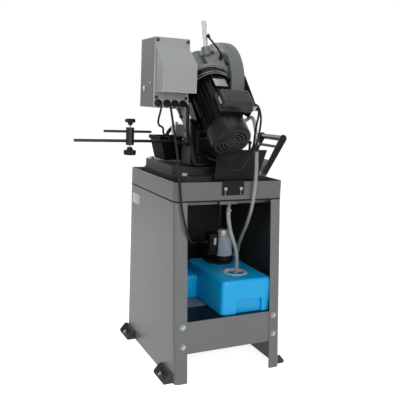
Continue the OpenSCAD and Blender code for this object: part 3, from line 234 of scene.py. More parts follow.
def finish(name, base, cloud, rough, grain_mm, bump_mm, metallic=0.0, shine=0.5, edge_wear_and_highlight_colour=None, edge_wear_and_highlight_share=0.0,
           stretch=None, cloud_mm=140.0, dust=0.0, painted_inner_shade=None, edge_mm=2.2, **constants):
    """Makes a material: broad tone, fine grain in bump and gloss, pale edge lines that are partly rubbed
    paint and partly painted highlight, and settled dust.
    The inner shade colour is painted shade, put on faces that look towards the saw's upright axis. Colours
    are hex or linear."""
    base, cloud, edge_wear_and_highlight_colour, painted_inner_shade = (linear(c) if isinstance(c, str) else c for c in (base, cloud, edge_wear_and_highlight_colour, painted_inner_shade))
    material = bpy.data.materials.new(name)
    material.use_nodes = True
    tree = material.node_tree
    tree.nodes.clear()
    place = add(tree, "TexCoord").outputs["Object"]
    if stretch:
        place = add(tree, "Mapping", {"Scale": stretch}, {"Vector": place}).outputs[0]
    broad = add(tree, "TexNoise", {"Scale": per_metre(cloud_mm), "Detail": 5.0}, {"Vector": place}).outputs[0]
    fine = add(tree, "TexNoise", {"Scale": per_metre(grain_mm), "Detail": 3.0}, {"Vector": place}).outputs[0]
    colour = add(tree, "Mix", {FIRST: base, SECOND: cloud}, {FACTOR: broad}, data_type="RGBA").outputs[2]
    facing = add(tree, "NewGeometry").outputs["Normal"]
    # Painted shade: faces that look towards the saw's upright axis take a dark colour, standing in for the
    # shade inside the stand and on the guard's side towards the motor
    if painted_inner_shade:
        level = add(tree, "VectorMath", {1: (1.0, 1.0, 0.0)}, {0: place}, operation="MULTIPLY")
        away = add(tree, "VectorMath", None, {0: level.outputs[0], 1: facing}, operation="DOT_PRODUCT")
        inner_shade_mask = add(tree, "Math", {1: -0.02}, {0: away.outputs["Value"]}, operation="LESS_THAN")
        colour = add(tree, "Mix", {SECOND: painted_inner_shade}, {FACTOR: inner_shade_mask.outputs[0], FIRST: colour},
                     data_type="RGBA").outputs[2]
    # Pale lines along the edges: partly rubbed paint, partly painted highlight where the rounded edges catch
    # the light
    if edge_wear_and_highlight_share:
        rounded = add(tree, "Bevel", {"Radius": edge_mm / 1000.0}, samples=4).outputs[0]
        same = add(tree, "VectorMath", None, {0: rounded, 1: facing}, operation="DOT_PRODUCT")
        edge = add(tree, "MapRange", {FROM_LOW: 0.985, FROM_HIGH: 0.86, TO_LOW: 0.0, TO_HIGH: edge_wear_and_highlight_share},
                   {0: same.outputs["Value"]})
        patchy = add(tree, "MapRange", {FROM_LOW: 0.40, FROM_HIGH: 0.62}, {0: broad})
        edge_wear_and_highlight_mask = add(tree, "Math", None, {0: edge.outputs[0], 1: patchy.outputs[0]}, operation="MULTIPLY")
        colour = add(tree, "Mix", {SECOND: edge_wear_and_highlight_colour}, {FACTOR: edge_wear_and_highlight_mask.outputs[0], FIRST: colour},
                     data_type="RGBA").outputs[2]
    if dust:
        upward = add(tree, "SeparateXYZ", None, {0: facing}).outputs[2]
        lying = add(tree, "MapRange", {FROM_LOW: 0.75, FROM_HIGH: 1.0, TO_LOW: 0.0, TO_HIGH: dust},
                    {0: upward})
        settled = add(tree, "Math", None, {0: lying.outputs[0], 1: broad}, operation="MULTIPLY")
        colour = add(tree, "Mix", {SECOND: linear("a8a49c")}, {FACTOR: settled.outputs[0], FIRST: colour},
                     data_type="RGBA").outputs[2]
    gloss = add(tree, "MapRange", {FROM_LOW: 0.3, FROM_HIGH: 0.7, TO_LOW: max(rough - 0.06, 0.02),
                                   TO_HIGH: min(rough + 0.07, 1.0)}, {0: fine}).outputs[0]
    relief = add(tree, "Bump", {"Strength": 0.6, "Distance": bump_mm / 1000.0}, {"Height": fine}).outputs[0]
    values = {"Metallic": metallic, "Specular IOR Level": shine}
    values.update(constants)
    shader = add(tree, "BsdfPrincipled", values, {"Base Color": colour, "Roughness": gloss, "Normal": relief})
    add(tree, "OutputMaterial", None, {"Surface": shader.outputs[0]})
    material.diffuse_color = base
    return material


def shaded(colour, factor):
    """The same colour, lighter or darker by a factor, as a node colour."""
    return tuple(min(c * factor, 1.0) for c in colour[:3]) + (1.0,)


# Shine of dull black paint, rubber and oily iron
LOW_GLOSS = 0.18


def make_finishes():
    """Makes every finish once, keyed by the record's slot or by the piece that wears it."""
    c = settings().colours
    sheet, casting, guard, cabinet = (tuple(x) + (1.0,) for x in (c.sheet, c.casting, c.guard, c.cabinet))
    black, tank, pump = (tuple(x) + (1.0,) for x in (c.black, c.tank, c.pump))
    steel, zinc = linear("a9abac"), linear("b4b7b8")
    return {
        # Powder-coated steel sheet: satin, slight orange peel, bare at rubbed corners; faces that look into
        # the stand are dark grey as painted shade
        "stand_paint": finish("powder_coated_sheet", sheet, shaded(sheet, 0.9), 0.36, 4.0, 0.08,
            edge_wear_and_highlight_colour="a9abab", edge_wear_and_highlight_share=0.5, painted_inner_shade="323434", shine=0.35),
        # The stand's coat on the cabinet box, even all round, lightened to match how brightly the box's sides
        # are lit: painted light
        "cabinet_box": finish("powder_coated_box", shaded(sheet, 1.45), shaded(sheet, 1.36), 0.58, 4.0, 0.02,
            edge_wear_and_highlight_colour="8f9191", edge_wear_and_highlight_share=0.3, shine=0.05),
        # The same coat on the feet, darkened all over to stand in for the shade on them (painted shade)
        "floor_feet": finish("shade_darkened_powder_coated_foot", shaded(sheet, 0.42), shaded(sheet, 0.3), 0.5, 4.0,
            0.05, edge_wear_and_highlight_colour="8f9191", edge_wear_and_highlight_share=0.5, cloud_mm=25.0, shine=0.1),
        # The same coat on the tray, dulled, and darkened to stand in for the shade it lies in (painted shade)
        "tray": finish("shade_darkened_tray_sheet", shaded(sheet, 0.72), shaded(sheet, 0.6), 0.4, 4.0, 0.08,
            edge_wear_and_highlight_colour="a3a5a5", edge_wear_and_highlight_share=0.5, cloud_mm=60.0),
        # Enamelled cast iron: sand-cast skin under paint, dull and a little lumpy
        "casting_paint": finish("enamelled_cast_iron", casting, shaded(casting, 0.8), 0.5, 7.0, 0.35,
            edge_wear_and_highlight_colour="a6a8a8", edge_wear_and_highlight_share=0.6, dust=0.15, cloud_mm=90.0),
        # Base casting in the tray: the same enamel darkened to a fifth, dark and blotchy
        "base_casting": finish("darkened_enamelled_cast_iron", shaded(casting, 0.2), shaded(casting, 0.08), 0.45, 9.0, 0.6,
            edge_wear_and_highlight_colour="7d7f7f", edge_wear_and_highlight_share=0.5, cloud_mm=55.0, shine=LOW_GLOSS),
        # Enamelled cast aluminium: smoother than iron, with a soft sheen; faces that look towards the saw's
        # axis, such as its side towards the motor, are near-black as painted shade
        "guard_paint": finish("enamelled_cast_aluminium", guard, shaded(guard, 0.82), 0.4, 6.0, 0.2,
            edge_wear_and_highlight_colour="a9abab", edge_wear_and_highlight_share=0.6, cloud_mm=80.0, painted_inner_shade="131415", shine=0.25),
        # Textured powder coat of a cabinet cover: even and pale, with near-white edge lines that are painted
        # highlights on its rounded edges
        "cabinet_paint": finish("powder_coated_cabinet", cabinet, shaded(cabinet, 0.93), 0.46, 3.5, 0.08,
            edge_wear_and_highlight_colour="f0f2f2", edge_wear_and_highlight_share=1.0, edge_mm=4.5, shine=0.12),
        # Satin black paint on thin sheet: deep, with a soft highlight; on the tank shelf this black is
        # painted shade for the dark inside of the stand
        "black_paint": finish("satin_black_sheet_paint", black, shaded(black, 1.5), 0.4, 4.0, 0.10,
            edge_wear_and_highlight_colour="55585a", edge_wear_and_highlight_share=0.5, shine=LOW_GLOSS),
        # Matt black paint of the chute: oily and dead, hardly any shine
        "chute": finish("matt_black_chute_paint", shaded(black, 0.6), shaded(black, 0.9), 0.6, 4.0, 0.1,
            shine=0.04),
        # Black enamel on cast iron: coarse skin, rubbed grey on the corners
        "black_casting": finish("black_enamelled_cast_iron", black, shaded(black, 1.7), 0.42, 7.0, 0.35,
            edge_wear_and_highlight_colour="5a5d5e", edge_wear_and_highlight_share=0.5, shine=LOW_GLOSS),
        # Black motor enamel over a die casting: slightly glossy, with pale edge lines that are partly rubbed
        # paint and partly painted highlight on the fins and flange
        "motor_paint": finish("black_motor_enamel", black, shaded(black, 1.5), 0.32, 5.0, 0.12,
            edge_wear_and_highlight_colour="6a6d6f", edge_wear_and_highlight_share=0.35, shine=0.1),
        # Pressed steel fan cover and box: even black stove enamel
        "motor_cover": finish("stoved_black_fan_cover", shaded(black, 0.9), shaded(black, 1.4), 0.3, 4.0,
            0.06, edge_wear_and_highlight_colour="6c6e70", edge_wear_and_highlight_share=0.4, shine=LOW_GLOSS),
        # Moulded lid of the motor box: black thermoset with a broad soft sheen
        "motor_box": finish("moulded_black_thermoset", "242527", "2b2c2e", 0.36, 4.0, 0.06,
            edge_wear_and_highlight_colour="6c6e70", edge_wear_and_highlight_share=0.3, shine=0.3),
        # Ground tool steel: fine straight grinding lines, drawn 2 mm apart so that they show
        "jaw_steel": finish("ground_tool_steel", "b4b7b8", "9b9e9f", 0.36, 2.0, 0.05,
            metallic=0.4, stretch=(0.15, 1.0, 1.0), cloud_mm=40.0),
        # Turned bright steel: narrow bright highlight with faint turning marks
        "bright_steel": finish("turned_bright_steel", steel, shaded(steel, 0.75), 0.24, 2.0, 0.04,
            metallic=1.0, stretch=(0.4, 1.0, 1.0), cloud_mm=50.0),
        # Blackened steel: oil-blacked bar, dark with a dull metal shine
        "dark_steel": finish("oil_blackened_steel", "2e3032", "1d1f20", 0.34, 3.0, 0.05,
            metallic=0.6, cloud_mm=40.0),
        # Zinc-plated steel: pale, slightly cloudy, half bright
        "fasteners": finish("zinc_plated_steel", zinc, "85898d", 0.3, 3.0, 0.05, metallic=1.0, cloud_mm=12.0),
        # Cast zinc fitting: dull grey metal
        "cast_zinc": finish("cast_zinc_fitting", "6d7072", "505355", 0.45, 4.0, 0.1,
            metallic=0.7, cloud_mm=20.0),
        # Spun aluminium cap of the pump: pale, with a soft satin shine
        "pump_cap": finish("spun_aluminium_cap", "d2d5d7", "b5b8ba", 0.36, 2.0, 0.03,
            metallic=0.25, cloud_mm=25.0),
        # Chrome plate on a tube: bright bands, slightly dulled by handling
        "chrome": finish("chrome_plated_tube", "d4d7d9", "b9bcbe", 0.16, 6.0, 0.01,
            metallic=1.0, cloud_mm=30.0),
        # Blow-moulded polyethylene: waxy blue with a shallow grain
        "tank_plastic": finish("blow_moulded_polyethylene", tank, shaded(tank, 0.84), 0.34, 5.0, 0.15,
            cloud_mm=110.0),
        # Pale enamel on a die-cast pump body
        "pump_paint": finish("pump_enamel", pump, shaded(pump, 0.85), 0.4, 4.0, 0.12,
            edge_wear_and_highlight_colour="d0d3d4", edge_wear_and_highlight_share=0.5),
        # Moulded black nylon: fine spark-eroded texture, dull
        "black_plastic": finish("moulded_black_nylon", "111213", "1a1b1d", 0.5, 2.5, 0.08, shine=LOW_GLOSS),
        # Moulded rubber of the grip: matt, dusty black
        "grip_rubber": finish("moulded_grip_rubber", "111112", "1b1b1c", 0.72, 3.0, 0.12, shine=LOW_GLOSS),
        # Extruded cable sheath: matt black with soft shine along its length
        "cable_rubber": finish("extruded_cable_sheath", "0e0f10", "18191a", 0.4, 4.0, 0.06, shine=LOW_GLOSS),
        # Clear PVC hose gone milky with coolant: see-through grey with a wet highlight
        "clear_hose": finish("clear_pvc_hose", "c8ccc9", "a2a7a4", 0.12, 20.0, 0.05,
            cloud_mm=40.0, **{"Transmission Weight": 0.4, "IOR": 1.53}),
        # Red acetal: glossy moulding
        "red_plastic": finish("red_acetal", "b3241c", "98190f", 0.32, 4.0, 0.05),
        # Oil plug: the same red, darkened by oil
        "oil_plug": finish("oily_red_acetal", "7d1420", "5e0e18", 0.4, 4.0, 0.05),
        # Green acetal: glossy moulding
        "green_plastic": finish("green_acetal", "2c9a48", "24803c", 0.32, 4.0, 0.05),
        # White vinyl film: flat and slightly glossy
        "blank_label": finish("white_vinyl_film", "e2e2de", "d2d2cd", 0.35, 8.0, 0.02),
        # Anodised aluminium plate: silver with a warm cast
        "bare_plate": finish("anodised_aluminium_plate", "9c9a93", "7f7d76", 0.35, 2.0, 0.03,
            metallic=0.5, stretch=(0.1, 1.0, 1.0), cloud_mm=30.0),
        # Yellow enamel disc behind the emergency stop
        "yellow_disc": finish("yellow_stoved_disc", "d9ae1c", "c79c14", 0.4, 4.0, 0.04),
    }


FINISHES = {}


# Shapes

def skin(mesh, rings, close=False):
    """Skins rings of points, in millimetres, into one surface, with end caps or closed on itself."""
    rows = [[mesh.verts.new(metres(p)) for p in ring] for ring in rings]
    count = len(rows[0])
    pairs = list(zip(rows, rows[1:])) + ([(rows[-1], rows[0])] if close else [])
    for a, b in pairs:
        for k in range(count):
            mesh.faces.new((a[k], a[(k + 1) % count], b[(k + 1) % count], b[k]))
    if not close:
        mesh.faces.new(list(reversed(rows[0])))
        mesh.faces.new(rows[-1])


def across(direction):
    """Two unit vectors square to a direction."""
    d = Vector(direction).normalized()
    a = (Vector((1, 0, 0)) if abs(d.x) < 0.9 else Vector((0, 1, 0))).cross(d).normalized()
    return a, d.cross(a)


def turned(mesh, origin, axis, profile, sides=32, lobes=0, depth=0.0, close=False):
    """Turns a profile of (height, radius) about an axis; lobes flute the radius by depth."""
    a, b = across(axis)
    d = Vector(axis).normalized()
    rings = []
    for height, radius in profile:
        ring = []
        for k in range(sides):
            t = 2 * math.pi * k / sides
            r = radius * (1 + depth * math.cos(lobes * t)) if lobes else radius
            ring.append(Vector(origin) + d * height + (a * math.cos(t) + b * math.sin(t)) * r)
        rings.append(ring)
    skin(mesh, rings, close=close)


def round_rect(x0, x1, y0, y1, r, steps=5):
    """Outline of a rectangle with round corners."""
    points = []
    for cx, cy, start in ((x1 - r, y1 - r, 0), (x0 + r, y1 - r, 90),
                          (x0 + r, y0 + r, 180), (x1 - r, y0 + r, 270)):
        for k in range(steps + 1):
            t = math.radians(start + 90 * k / steps)
            points.append((cx + r * math.cos(t), cy + r * math.sin(t)))
    return points


def soft_slab(mesh, place, x0, x1, y0, y1, z0, z1, corner, edge, steps=4, foot=None, bands=1):
    """A slab with round corners and round edges; place maps its x, y, z to the saw's frame."""
    turn = [math.pi / 2 * k / steps for k in range(steps + 1)]
    foot = edge if foot is None else foot
    levels = [(foot * (1 - math.sin(t)), z0 + foot * (1 - math.cos(t))) for t in turn]
    levels += [(0.0, z0 + foot + (z1 - edge - z0 - foot) * k / bands) for k in range(1, bands)]
    levels += [(edge * (1 - math.sin(t)), z1 - edge * (1 - math.cos(t))) for t in reversed(turn)]
    rings = []
    for inset, z in levels:
        outline = round_rect(x0 + inset, x1 - inset, y0 + inset, y1 - inset, max(corner - inset, 0.2))
        rings.append([place(x, y, z) for x, y in outline])
    skin(mesh, rings)


def smooth_route(route, spans=6):
    """A smooth curve through a route's points, in millimetres."""
    points = [Vector(p) for p in route]
    points = [2 * points[0] - points[1]] + points + [2 * points[-1] - points[-2]]
    out = []
    for i in range(1, len(points) - 2):
        p0, p1, p2, p3 = points[i - 1:i + 3]
        for k in range(spans):
            t = k / spans
            out.append(0.5 * (2 * p1 + (p2 - p0) * t + (2 * p0 - 5 * p1 + 4 * p2 - p3) * t ** 2
                              + (3 * p1 - p0 - 3 * p2 + p3) * t ** 3))
    out.append(points[-2])
    return out


def evenly(path, step):
    """The same path with points about one step apart."""
    reach = [0.0]
    for a, b in zip(path, path[1:]):
        reach.append(reach[-1] + (b - a).length)
    count = max(2, round(reach[-1] / step))
    out, i = [], 0
    for k in range(count + 1):
        target = reach[-1] * k / count
        while i < len(path) - 2 and reach[i + 1] < target:
            i += 1
        share = (target - reach[i]) / max(reach[i + 1] - reach[i], 1e-9)
        out.append(path[i].lerp(path[i + 1], min(share, 1.0)))
    return out


def sweep(mesh, path, radii, sides=14):
    """Sweeps round rings along a path without twist; radii is one radius or one for each point."""
    radii = radii if isinstance(radii, list) else [radii] * len(path)
    rings, normal = [], None
    for i, p in enumerate(path):
        ahead = (path[min(i + 1, len(path) - 1)] - path[max(i - 1, 0)]).normalized()
        normal = across(ahead)[0] if normal is None else (normal - ahead * normal.dot(ahead)).normalized()
        other = ahead.cross(normal)
        rings.append([p + (normal * math.cos(2 * math.pi * k / sides)
                           + other * math.sin(2 * math.pi * k / sides)) * radii[i] for k in range(sides)])
    skin(mesh, rings)


def piece(name, mesh, finish_name, body=None, stands_for=(), sharp=40.0):
    """Turns a bmesh into a named piece that wears the given finish."""
    bmesh.ops.recalc_face_normals(mesh, faces=mesh.faces[:])
    data = bpy.data.meshes.new(name)
    mesh.to_mesh(data)
    mesh.free()
    data.polygons.foreach_set("use_smooth", [True] * len(data.polygons))
    data.set_sharp_from_angle(angle=math.radians(sharp))
    data.materials.append(FINISHES[finish_name])
    obj = bpy.data.objects.new(name, data)
    bpy.context.scene.collection.objects.link(obj)
    if body:
        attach(obj, body)
    if stands_for:
        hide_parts(*stands_for)
    return obj


def carve(target, tool, operation):
    """Applies a boolean of a tool mesh to a target piece and removes the tool."""
    modifier = target.modifiers.new("carve", "BOOLEAN")
    modifier.operation = operation
    modifier.object = tool
    modifier.solver = "EXACT"
    graph = bpy.context.evaluated_depsgraph_get()
    data = bpy.data.meshes.new_from_object(target.evaluated_get(graph))
    target.modifiers.clear()
    target.data = data
    bpy.data.objects.remove(tool)
    data.polygons.foreach_set("use_smooth", [True] * len(data.polygons))
    data.set_sharp_from_angle(angle=math.radians(40.0))


def screw_head(mesh, origin, axis, radius, height, hexagon=True):
    """A bolt head on its seat: a hexagon or a cheese head with a chamfered rim."""
    profile = [(0.0, radius), (height * 0.8, radius), (height, radius * 0.84)]
    turned(mesh, origin, axis, profile, 6 if hexagon else 20)


# Hoses and cables

def run_of(name, route, diameter, finish_name, body=None, bend=None, stands_for=(),
           ribs=0.0, step=5.0):
    path = evenly(smooth_route(route), step)
    radius = diameter * 500.0
    radii = [radius - ribs * (i % 2) for i in range(len(path))] if ribs else radius
    mesh = bmesh.new()
    sweep(mesh, path, radii)
    obj = piece(name, mesh, finish_name, body, stands_for=stands_for, sharp=60.0)
    if bend:
        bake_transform(obj)
    return path


def boot(name, path, radius, body, reach=20.0):
    """A tapered strain relief with rings, round the first stretch of a cable."""
    near = evenly(path, 1.5)[:int(reach / 1.5) + 1]
    last = len(near) - 1
    radii = [radius * (2.0 - 0.85 * i / last) - (0.5 if i % 3 == 2 and i < last else 0.0)
             for i in range(last + 1)]
    mesh = bmesh.new()
    sweep(mesh, near, radii, 16)
    return piece(name, mesh, "grip_rubber", body)


def band(name, path, start, radius, body):
    """A worm-drive clamp round a hose, start millimetres from the path's first point."""
    near = evenly(path, 1.0)[start:start + 10]
    mesh = bmesh.new()
    sweep(mesh, near, radius + 1.0, 24)
    middle, ahead = near[5], (near[9] - near[0]).normalized()
    side = across(ahead)[0]
    other = ahead.cross(side)
    turned(mesh, middle + side * (radius + 3.0) - other * 7.0, other,
           [(0, 3.4), (11, 3.4), (12, 4.2), (15, 4.0)], 12)
    return piece(name, mesh, "fasteners", body)


class COLDSAW_OT_hoses(bpy.types.Operator):
    """Makes the drain hose, the coolant hose and its branch, with their clamps"""
    bl_idname = "coldsaw.hoses"
    bl_label = "Hoses"

    def execute(self, context):
        sizes = settings().sizes
        drain = run_of("drain_hose_tube", DRAIN, sizes.drain_hose, "clear_hose", "stand",
                       stands_for=("drain_hose",))
        lower = run_of("coolant_hose_tube", COOLANT, sizes.coolant_hose, "clear_hose",
                       bend=("stand", "swivel", (-98, 268, 697), (-94, 285, 925)),
                       stands_for=("coolant_hose",))
        upper = run_of("coolant_branch_tube", BRANCH, sizes.coolant_hose, "clear_hose",
                       bend=("swivel", "head", (-90, 280, 975), (-66, 175, 1035)),
                       stands_for=("coolant_branch",))
        half = sizes.coolant_hose * 500.0
        band("drain_clamp", drain, 4, sizes.drain_hose * 500.0, "stand")
        band("pump_hose_clamp", lower, 2, half, "stand")
        band("guard_hose_clamp", upper[::-1], 3, half, "head")
        joint = bmesh.new()
        turned(joint, (-94, 285, 924), (0, 0, 1), [(0, 8.6), (1, 9.6), (11, 9.6), (11.5, 10.6), (15, 10.6),
                                                   (15.5, 9.6), (25, 9.6), (26, 8.6)], 28)
        piece("hose_coupling", joint, "black_plastic", "swivel")
        return {"FINISHED"}


class COLDSAW_OT_cables(bpy.types.Operator):
    """Makes the motor, pump, control and lever cables with their strain reliefs"""
    bl_idname = "coldsaw.cables"
    bl_label = "Cables"

    def execute(self, context):
        sizes = settings().sizes
        thin, half = sizes.control_cable, sizes.control_cable * 500.0
        bend = ("head", "swivel", (-55, 340, 1075), (-20, 300, 880))
        for name, route in (("motor_cable_upper", MOTOR_A), ("motor_cable_lower", MOTOR_B)):
            path = run_of(name, route, thin, "cable_rubber", bend=bend,
                          stands_for=("motor_cables",))
            boot(name + "_boot", path, half, "head", 12.0)
            boot(name + "_entry", path[::-1], half, "swivel", 20.0)
        path = run_of("pump_cable", SUPPLY, sizes.supply_cable, "cable_rubber",
                      bend=("swivel", "stand", (246, 197, 1078), (234, 273, 815)),
                      stands_for=("supply_cable",))
        boot("pump_cable_boot", path, sizes.supply_cable * 500.0, "swivel")
        boot("pump_cable_entry", path[::-1], sizes.supply_cable * 500.0, "stand", 22.0)
        for name, route in (("control_cable_long", GLAND_1), ("control_cable_short", GLAND_3)):
            path = run_of(name, route, thin, "cable_rubber", "swivel",
                          stands_for=("cabinet_cables",))
            boot(name + "_boot", path, half, "swivel")
            boot(name + "_entry", path[::-1], half, "swivel", 18.0)
        path = run_of("conduit_tube", CONDUIT, sizes.conduit, "black_plastic", "swivel",
                      stands_for=("cabinet_cables",), ribs=0.9, step=2.0)
        boot("conduit_boot", path, sizes.conduit * 500.0 * 0.62, "swivel", 20.0)
        path = run_of("lever_cable_tube", LEVER_CABLE, thin, "cable_rubber", "head",
                      stands_for=("lever_cable",))
        boot("lever_cable_boot", path, half, "head", 16.0)
        boot("lever_cable_entry", path[::-1], half, "head", 18.0)
        return {"FINISHED"}


class COLDSAW_OT_return_spring(bpy.types.Operator):
    """Winds the tension spring between the column and the head arm"""
    bl_idname = "coldsaw.return_spring"
    bl_label = "Return spring"

    def execute(self, context):
        x, y, z0, z1, eye, coil, turns = 104.0, 148.0, 885.0, 1015.0, 4.6, 6.0, 33
        path = [(0, eye * math.cos(math.radians(a - 45)), z0 - eye * math.sin(math.radians(a - 45)))
                for a in range(0, 226, 15)]
        path += [(0, -1, z0 + 8), (3, 0, z0 + 12)]
        count = turns * 16
        for i in range(count + 1):
            t = 2 * math.pi * turns * i / count
            path.append((coil * math.cos(t), coil * math.sin(t), z0 + 16 + (z1 - z0 - 32) * i / count))
        path += [(3, 0, z1 - 12), (0, -1, z1 - 8)]
        path += [(0, eye * math.cos(math.radians(180 + a)), z1 + eye * math.sin(math.radians(180 + a)))
                 for a in range(0, 226, 15)]
        mesh = bmesh.new()
        sweep(mesh, [Vector(p) + Vector((x, y, 0)) for p in path], settings().sizes.spring_wire * 500.0, 8)
        obj = piece("return_spring_wire", mesh, "dark_steel", stands_for=("return_spring",), sharp=70.0)
        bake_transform(obj)
        return {"FINISHED"}


# Soft edges of the carried-over nodes: bevel width in millimetres
EDGES = {
    "rear_rails": 0.6, "tank_shelf": 0.8, "floor_feet": 1.0, "tray": 0.9,
    "base_casting": 5.0, "vise_bed": 1.5, "fixed_jaws": 1.2, "moving_jaw": 1.5, "swivel_column": 3.0,
    "cabinet_box": 0.9, "cabinet_cover": 1.2, "gearbox_housing": 3.5, "head_arm": 3.5, "blade_guard": 2.0,
    "chute": 1.0, "roller_frame": 1.0, "splash_plate": 0.6, "splash_tail": 0.8,
    "stand_fasteners": 0.6, "cabinet_fittings": 0.8, "pump_base": 1.5, "oil_plug": 0.6,
    "main_switch": 1.0, "estop_button": 1.5, "start_button": 1.0, "hose_fittings": 0.6,
}

# Nodes whose bevels are held back where edges run close together
CLAMPED = ("base_casting", "gearbox_housing", "head_arm", "hose_fittings")

# Nodes whose finish differs from the rest of their slot
OWN_FINISH = {"tray": "tray", "base_casting": "base_casting", "cabinet_box": "cabinet_box",
              "hose_fittings": "cast_zinc", "chute": "chute", "floor_feet": "floor_feet",
              "oil_plug": "oil_plug"}


class COLDSAW_OT_finishes(bpy.types.Operator):
    """Gives every carried-over node its finish and soft edges"""
    bl_idname = "coldsaw.finishes"
    bl_label = "Finishes"

    def execute(self, context):
        for name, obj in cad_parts.items():
            for entry in obj.material_slots:
                slot = entry.material.name.split(".")[0]
                if slot not in FINISHES:
                    raise RuntimeError(f"no finish for the slot {slot} of {name}")
                entry.link = "OBJECT"
                entry.material = FINISHES[OWN_FINISH.get(name, slot)]
            if EDGES.get(name):
                weld = obj.modifiers.new("weld", "WELD")
                weld.merge_threshold = 0.00001
                flat = obj.modifiers.new("flat", "DECIMATE")
                flat.decimate_type = "DISSOLVE"
                flat.angle_limit = math.radians(1.0)
                edge = obj.modifiers.new("edge", "BEVEL")
                edge.width = EDGES[name] / 1000.0
                edge.segments = 2
                edge.limit_method = "ANGLE"
                edge.angle_limit = math.radians(40.0)
                edge.use_clamp_overlap = name in CLAMPED
                edge.harden_normals = False
                normal = obj.modifiers.new("normal", "WEIGHTED_NORMAL")
                normal.keep_sharp = False
        return {"FINISHED"}


class COLDSAW_OT_coolant_tank(bpy.types.Operator):
    """Moulds the stepped coolant tank with its filler ring"""
    bl_idname = "coldsaw.coolant_tank"
    bl_label = "Coolant tank"

    def execute(self, context):
        edge = settings().sizes.tank_edge * 1000.0
        mesh = bmesh.new()
        soft_slab(mesh, self.bulged, -205, 30, -80, 292, TANK_LOW_Z, TANK_TOP_Z, 24, edge, 5, 4.0, 10)
        tank = piece("coolant_tank_shell", mesh, "tank_plastic")
        step = bmesh.new()
        soft_slab(step, as_is, -200, 190, -80, 45, TANK_LOW_Z, TANK_STEP_Z, 24, edge, 5, 4.0)
        carve(tank, piece("step_tool", step, "tank_plastic"), "UNION")
        recess = bmesh.new()
        soft_slab(recess, on_rear, -160, -36, 200, 309, 277, 320, 8, 1.5)
        carve(tank, piece("recess_tool", recess, "tank_plastic"), "DIFFERENCE")
        for name, x, y, r in (("filler_tool", FILLER_X, FILLER_Y, 45), ("pump_tool", PUMP_X, 0, 30)):
            hole = bmesh.new()
            turned(hole, (x, y, 262), (0, 0, 1), [(0, r), (160, r)], 48)
            carve(tank, piece(name, hole, "tank_plastic"), "DIFFERENCE")
        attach(tank, "stand")
        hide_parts("coolant_tank")
        ring = bmesh.new()
        turned(ring, (FILLER_X, FILLER_Y, TANK_TOP_Z), (0, 0, 1),
               [(-9, 44.8), (-9, 43), (1.2, 43), (2.2, 44), (2.2, 52), (1.4, 53), (0.0, 53), (0.0, 44.8)],
               56, close=True)
        piece("filler_ring", ring, "blank_label", "stand")
        return {"FINISHED"}

    @staticmethod
    def bulged(x, y, z):
        """Swells the tank's outer side between its floor and its top."""
        share = (z - TANK_LOW_Z) / (TANK_TOP_Z - TANK_LOW_Z)
        return Vector((x - (9.0 * math.sin(math.pi * share) ** 2 if x < -150 else 0.0), y, z))


class COLDSAW_OT_pump(bpy.types.Operator):
    """Makes the coolant pump's ribbed body, cap and terminal box"""
    bl_idname = "coldsaw.pump"
    bl_label = "Coolant pump"

    def execute(self, context):
        body = bmesh.new()
        turned(body, (PUMP_X, 0, 424), (0, 0, 1), [(0, 43), (5, 43), (6, 41.5), (8, 41.5)], 96)
        turned(body, (PUMP_X, 0, 432), (0, 0, 1), [(0, 41), (62, 37), (70, 36), (74, 33)], 144, 24, 0.035)
        turned(body, (PUMP_X, 0, 505), (0, 0, 1), [(0, 35), (5, 35.5), (8, 34), (10, 30)], 96)
        piece("pump_motor_body", body, "pump_paint", "stand", stands_for=("pump_motor",), sharp=50.0)
        cap = bmesh.new()
        turned(cap, (PUMP_X + 4, 0, 515), (0, 0, 1),
               [(0, 27), (3, 27), (4, 25.5), (19, 25), (24, 23), (26.5, 18), (27, 8)], 48)
        piece("pump_cap", cap, "pump_cap", "stand", stands_for=("pump_motor",))
        box = bmesh.new()
        soft_slab(box, as_is, -78, -44, -30, 30, 430, 530, 5, 2.5)
        soft_slab(box, on_side, -29, 29, 431, 529, -46, -34, 5, 2.5)
        piece("pump_terminal_box", box, "black_plastic", "stand", stands_for=("pump_box",))
        screws = bmesh.new()
        for y in (-24, 24):
            for z in (437, 523):
                screw_head(screws, (-34.4, y, z), (1, 0, 0), 3, 1.6, False)
        piece("pump_box_screws", screws, "fasteners", "stand")
        return {"FINISHED"}


class COLDSAW_OT_stop_knobs(bpy.types.Operator):
    """Makes the fluted clamping knobs of the bar stop"""
    bl_idname = "coldsaw.stop_knobs"
    bl_label = "Stop knobs"

    def execute(self, context):
        for node, top in (("stop_knob_upper", True), ("stop_knob_lower", False)):
            low, high = (Vector(c) * 1000.0 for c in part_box(node))
            x, y, r = (low.x + high.x) / 2, (low.y + high.y) / 2, (high.x - low.x) / 2 / 1.05
            start, way, thick, hub, neck = (high.z, -1, 16, 9, 11) if top else (low.z, 1, 21, 11.5, 12)
            mesh = bmesh.new()
            origin, axis = (x, y, start), (0, 0, way)
            turned(mesh, origin, axis, [(0, r * 0.7), (0.8, r * 0.86), (3, r * 0.97), (5, r), (thick - 3, r),
                                        (thick - 1, r * 0.95), (thick, r * 0.86)], 112, 7, 0.05)
            turned(mesh, origin, axis, [(thick - 1, hub + 2), (thick + neck - 2, hub),
                                        (thick + neck, hub - 1.5)], 32)
            piece(node + "_head", mesh, "black_plastic", node, stands_for=(node,))
            stud = bmesh.new()
            turned(stud, origin, axis, [(thick + neck - 1, 3), (high.z - low.z, 3)], 16)
            piece(node + "_stud", stud, "fasteners", node)
        return {"FINISHED"}


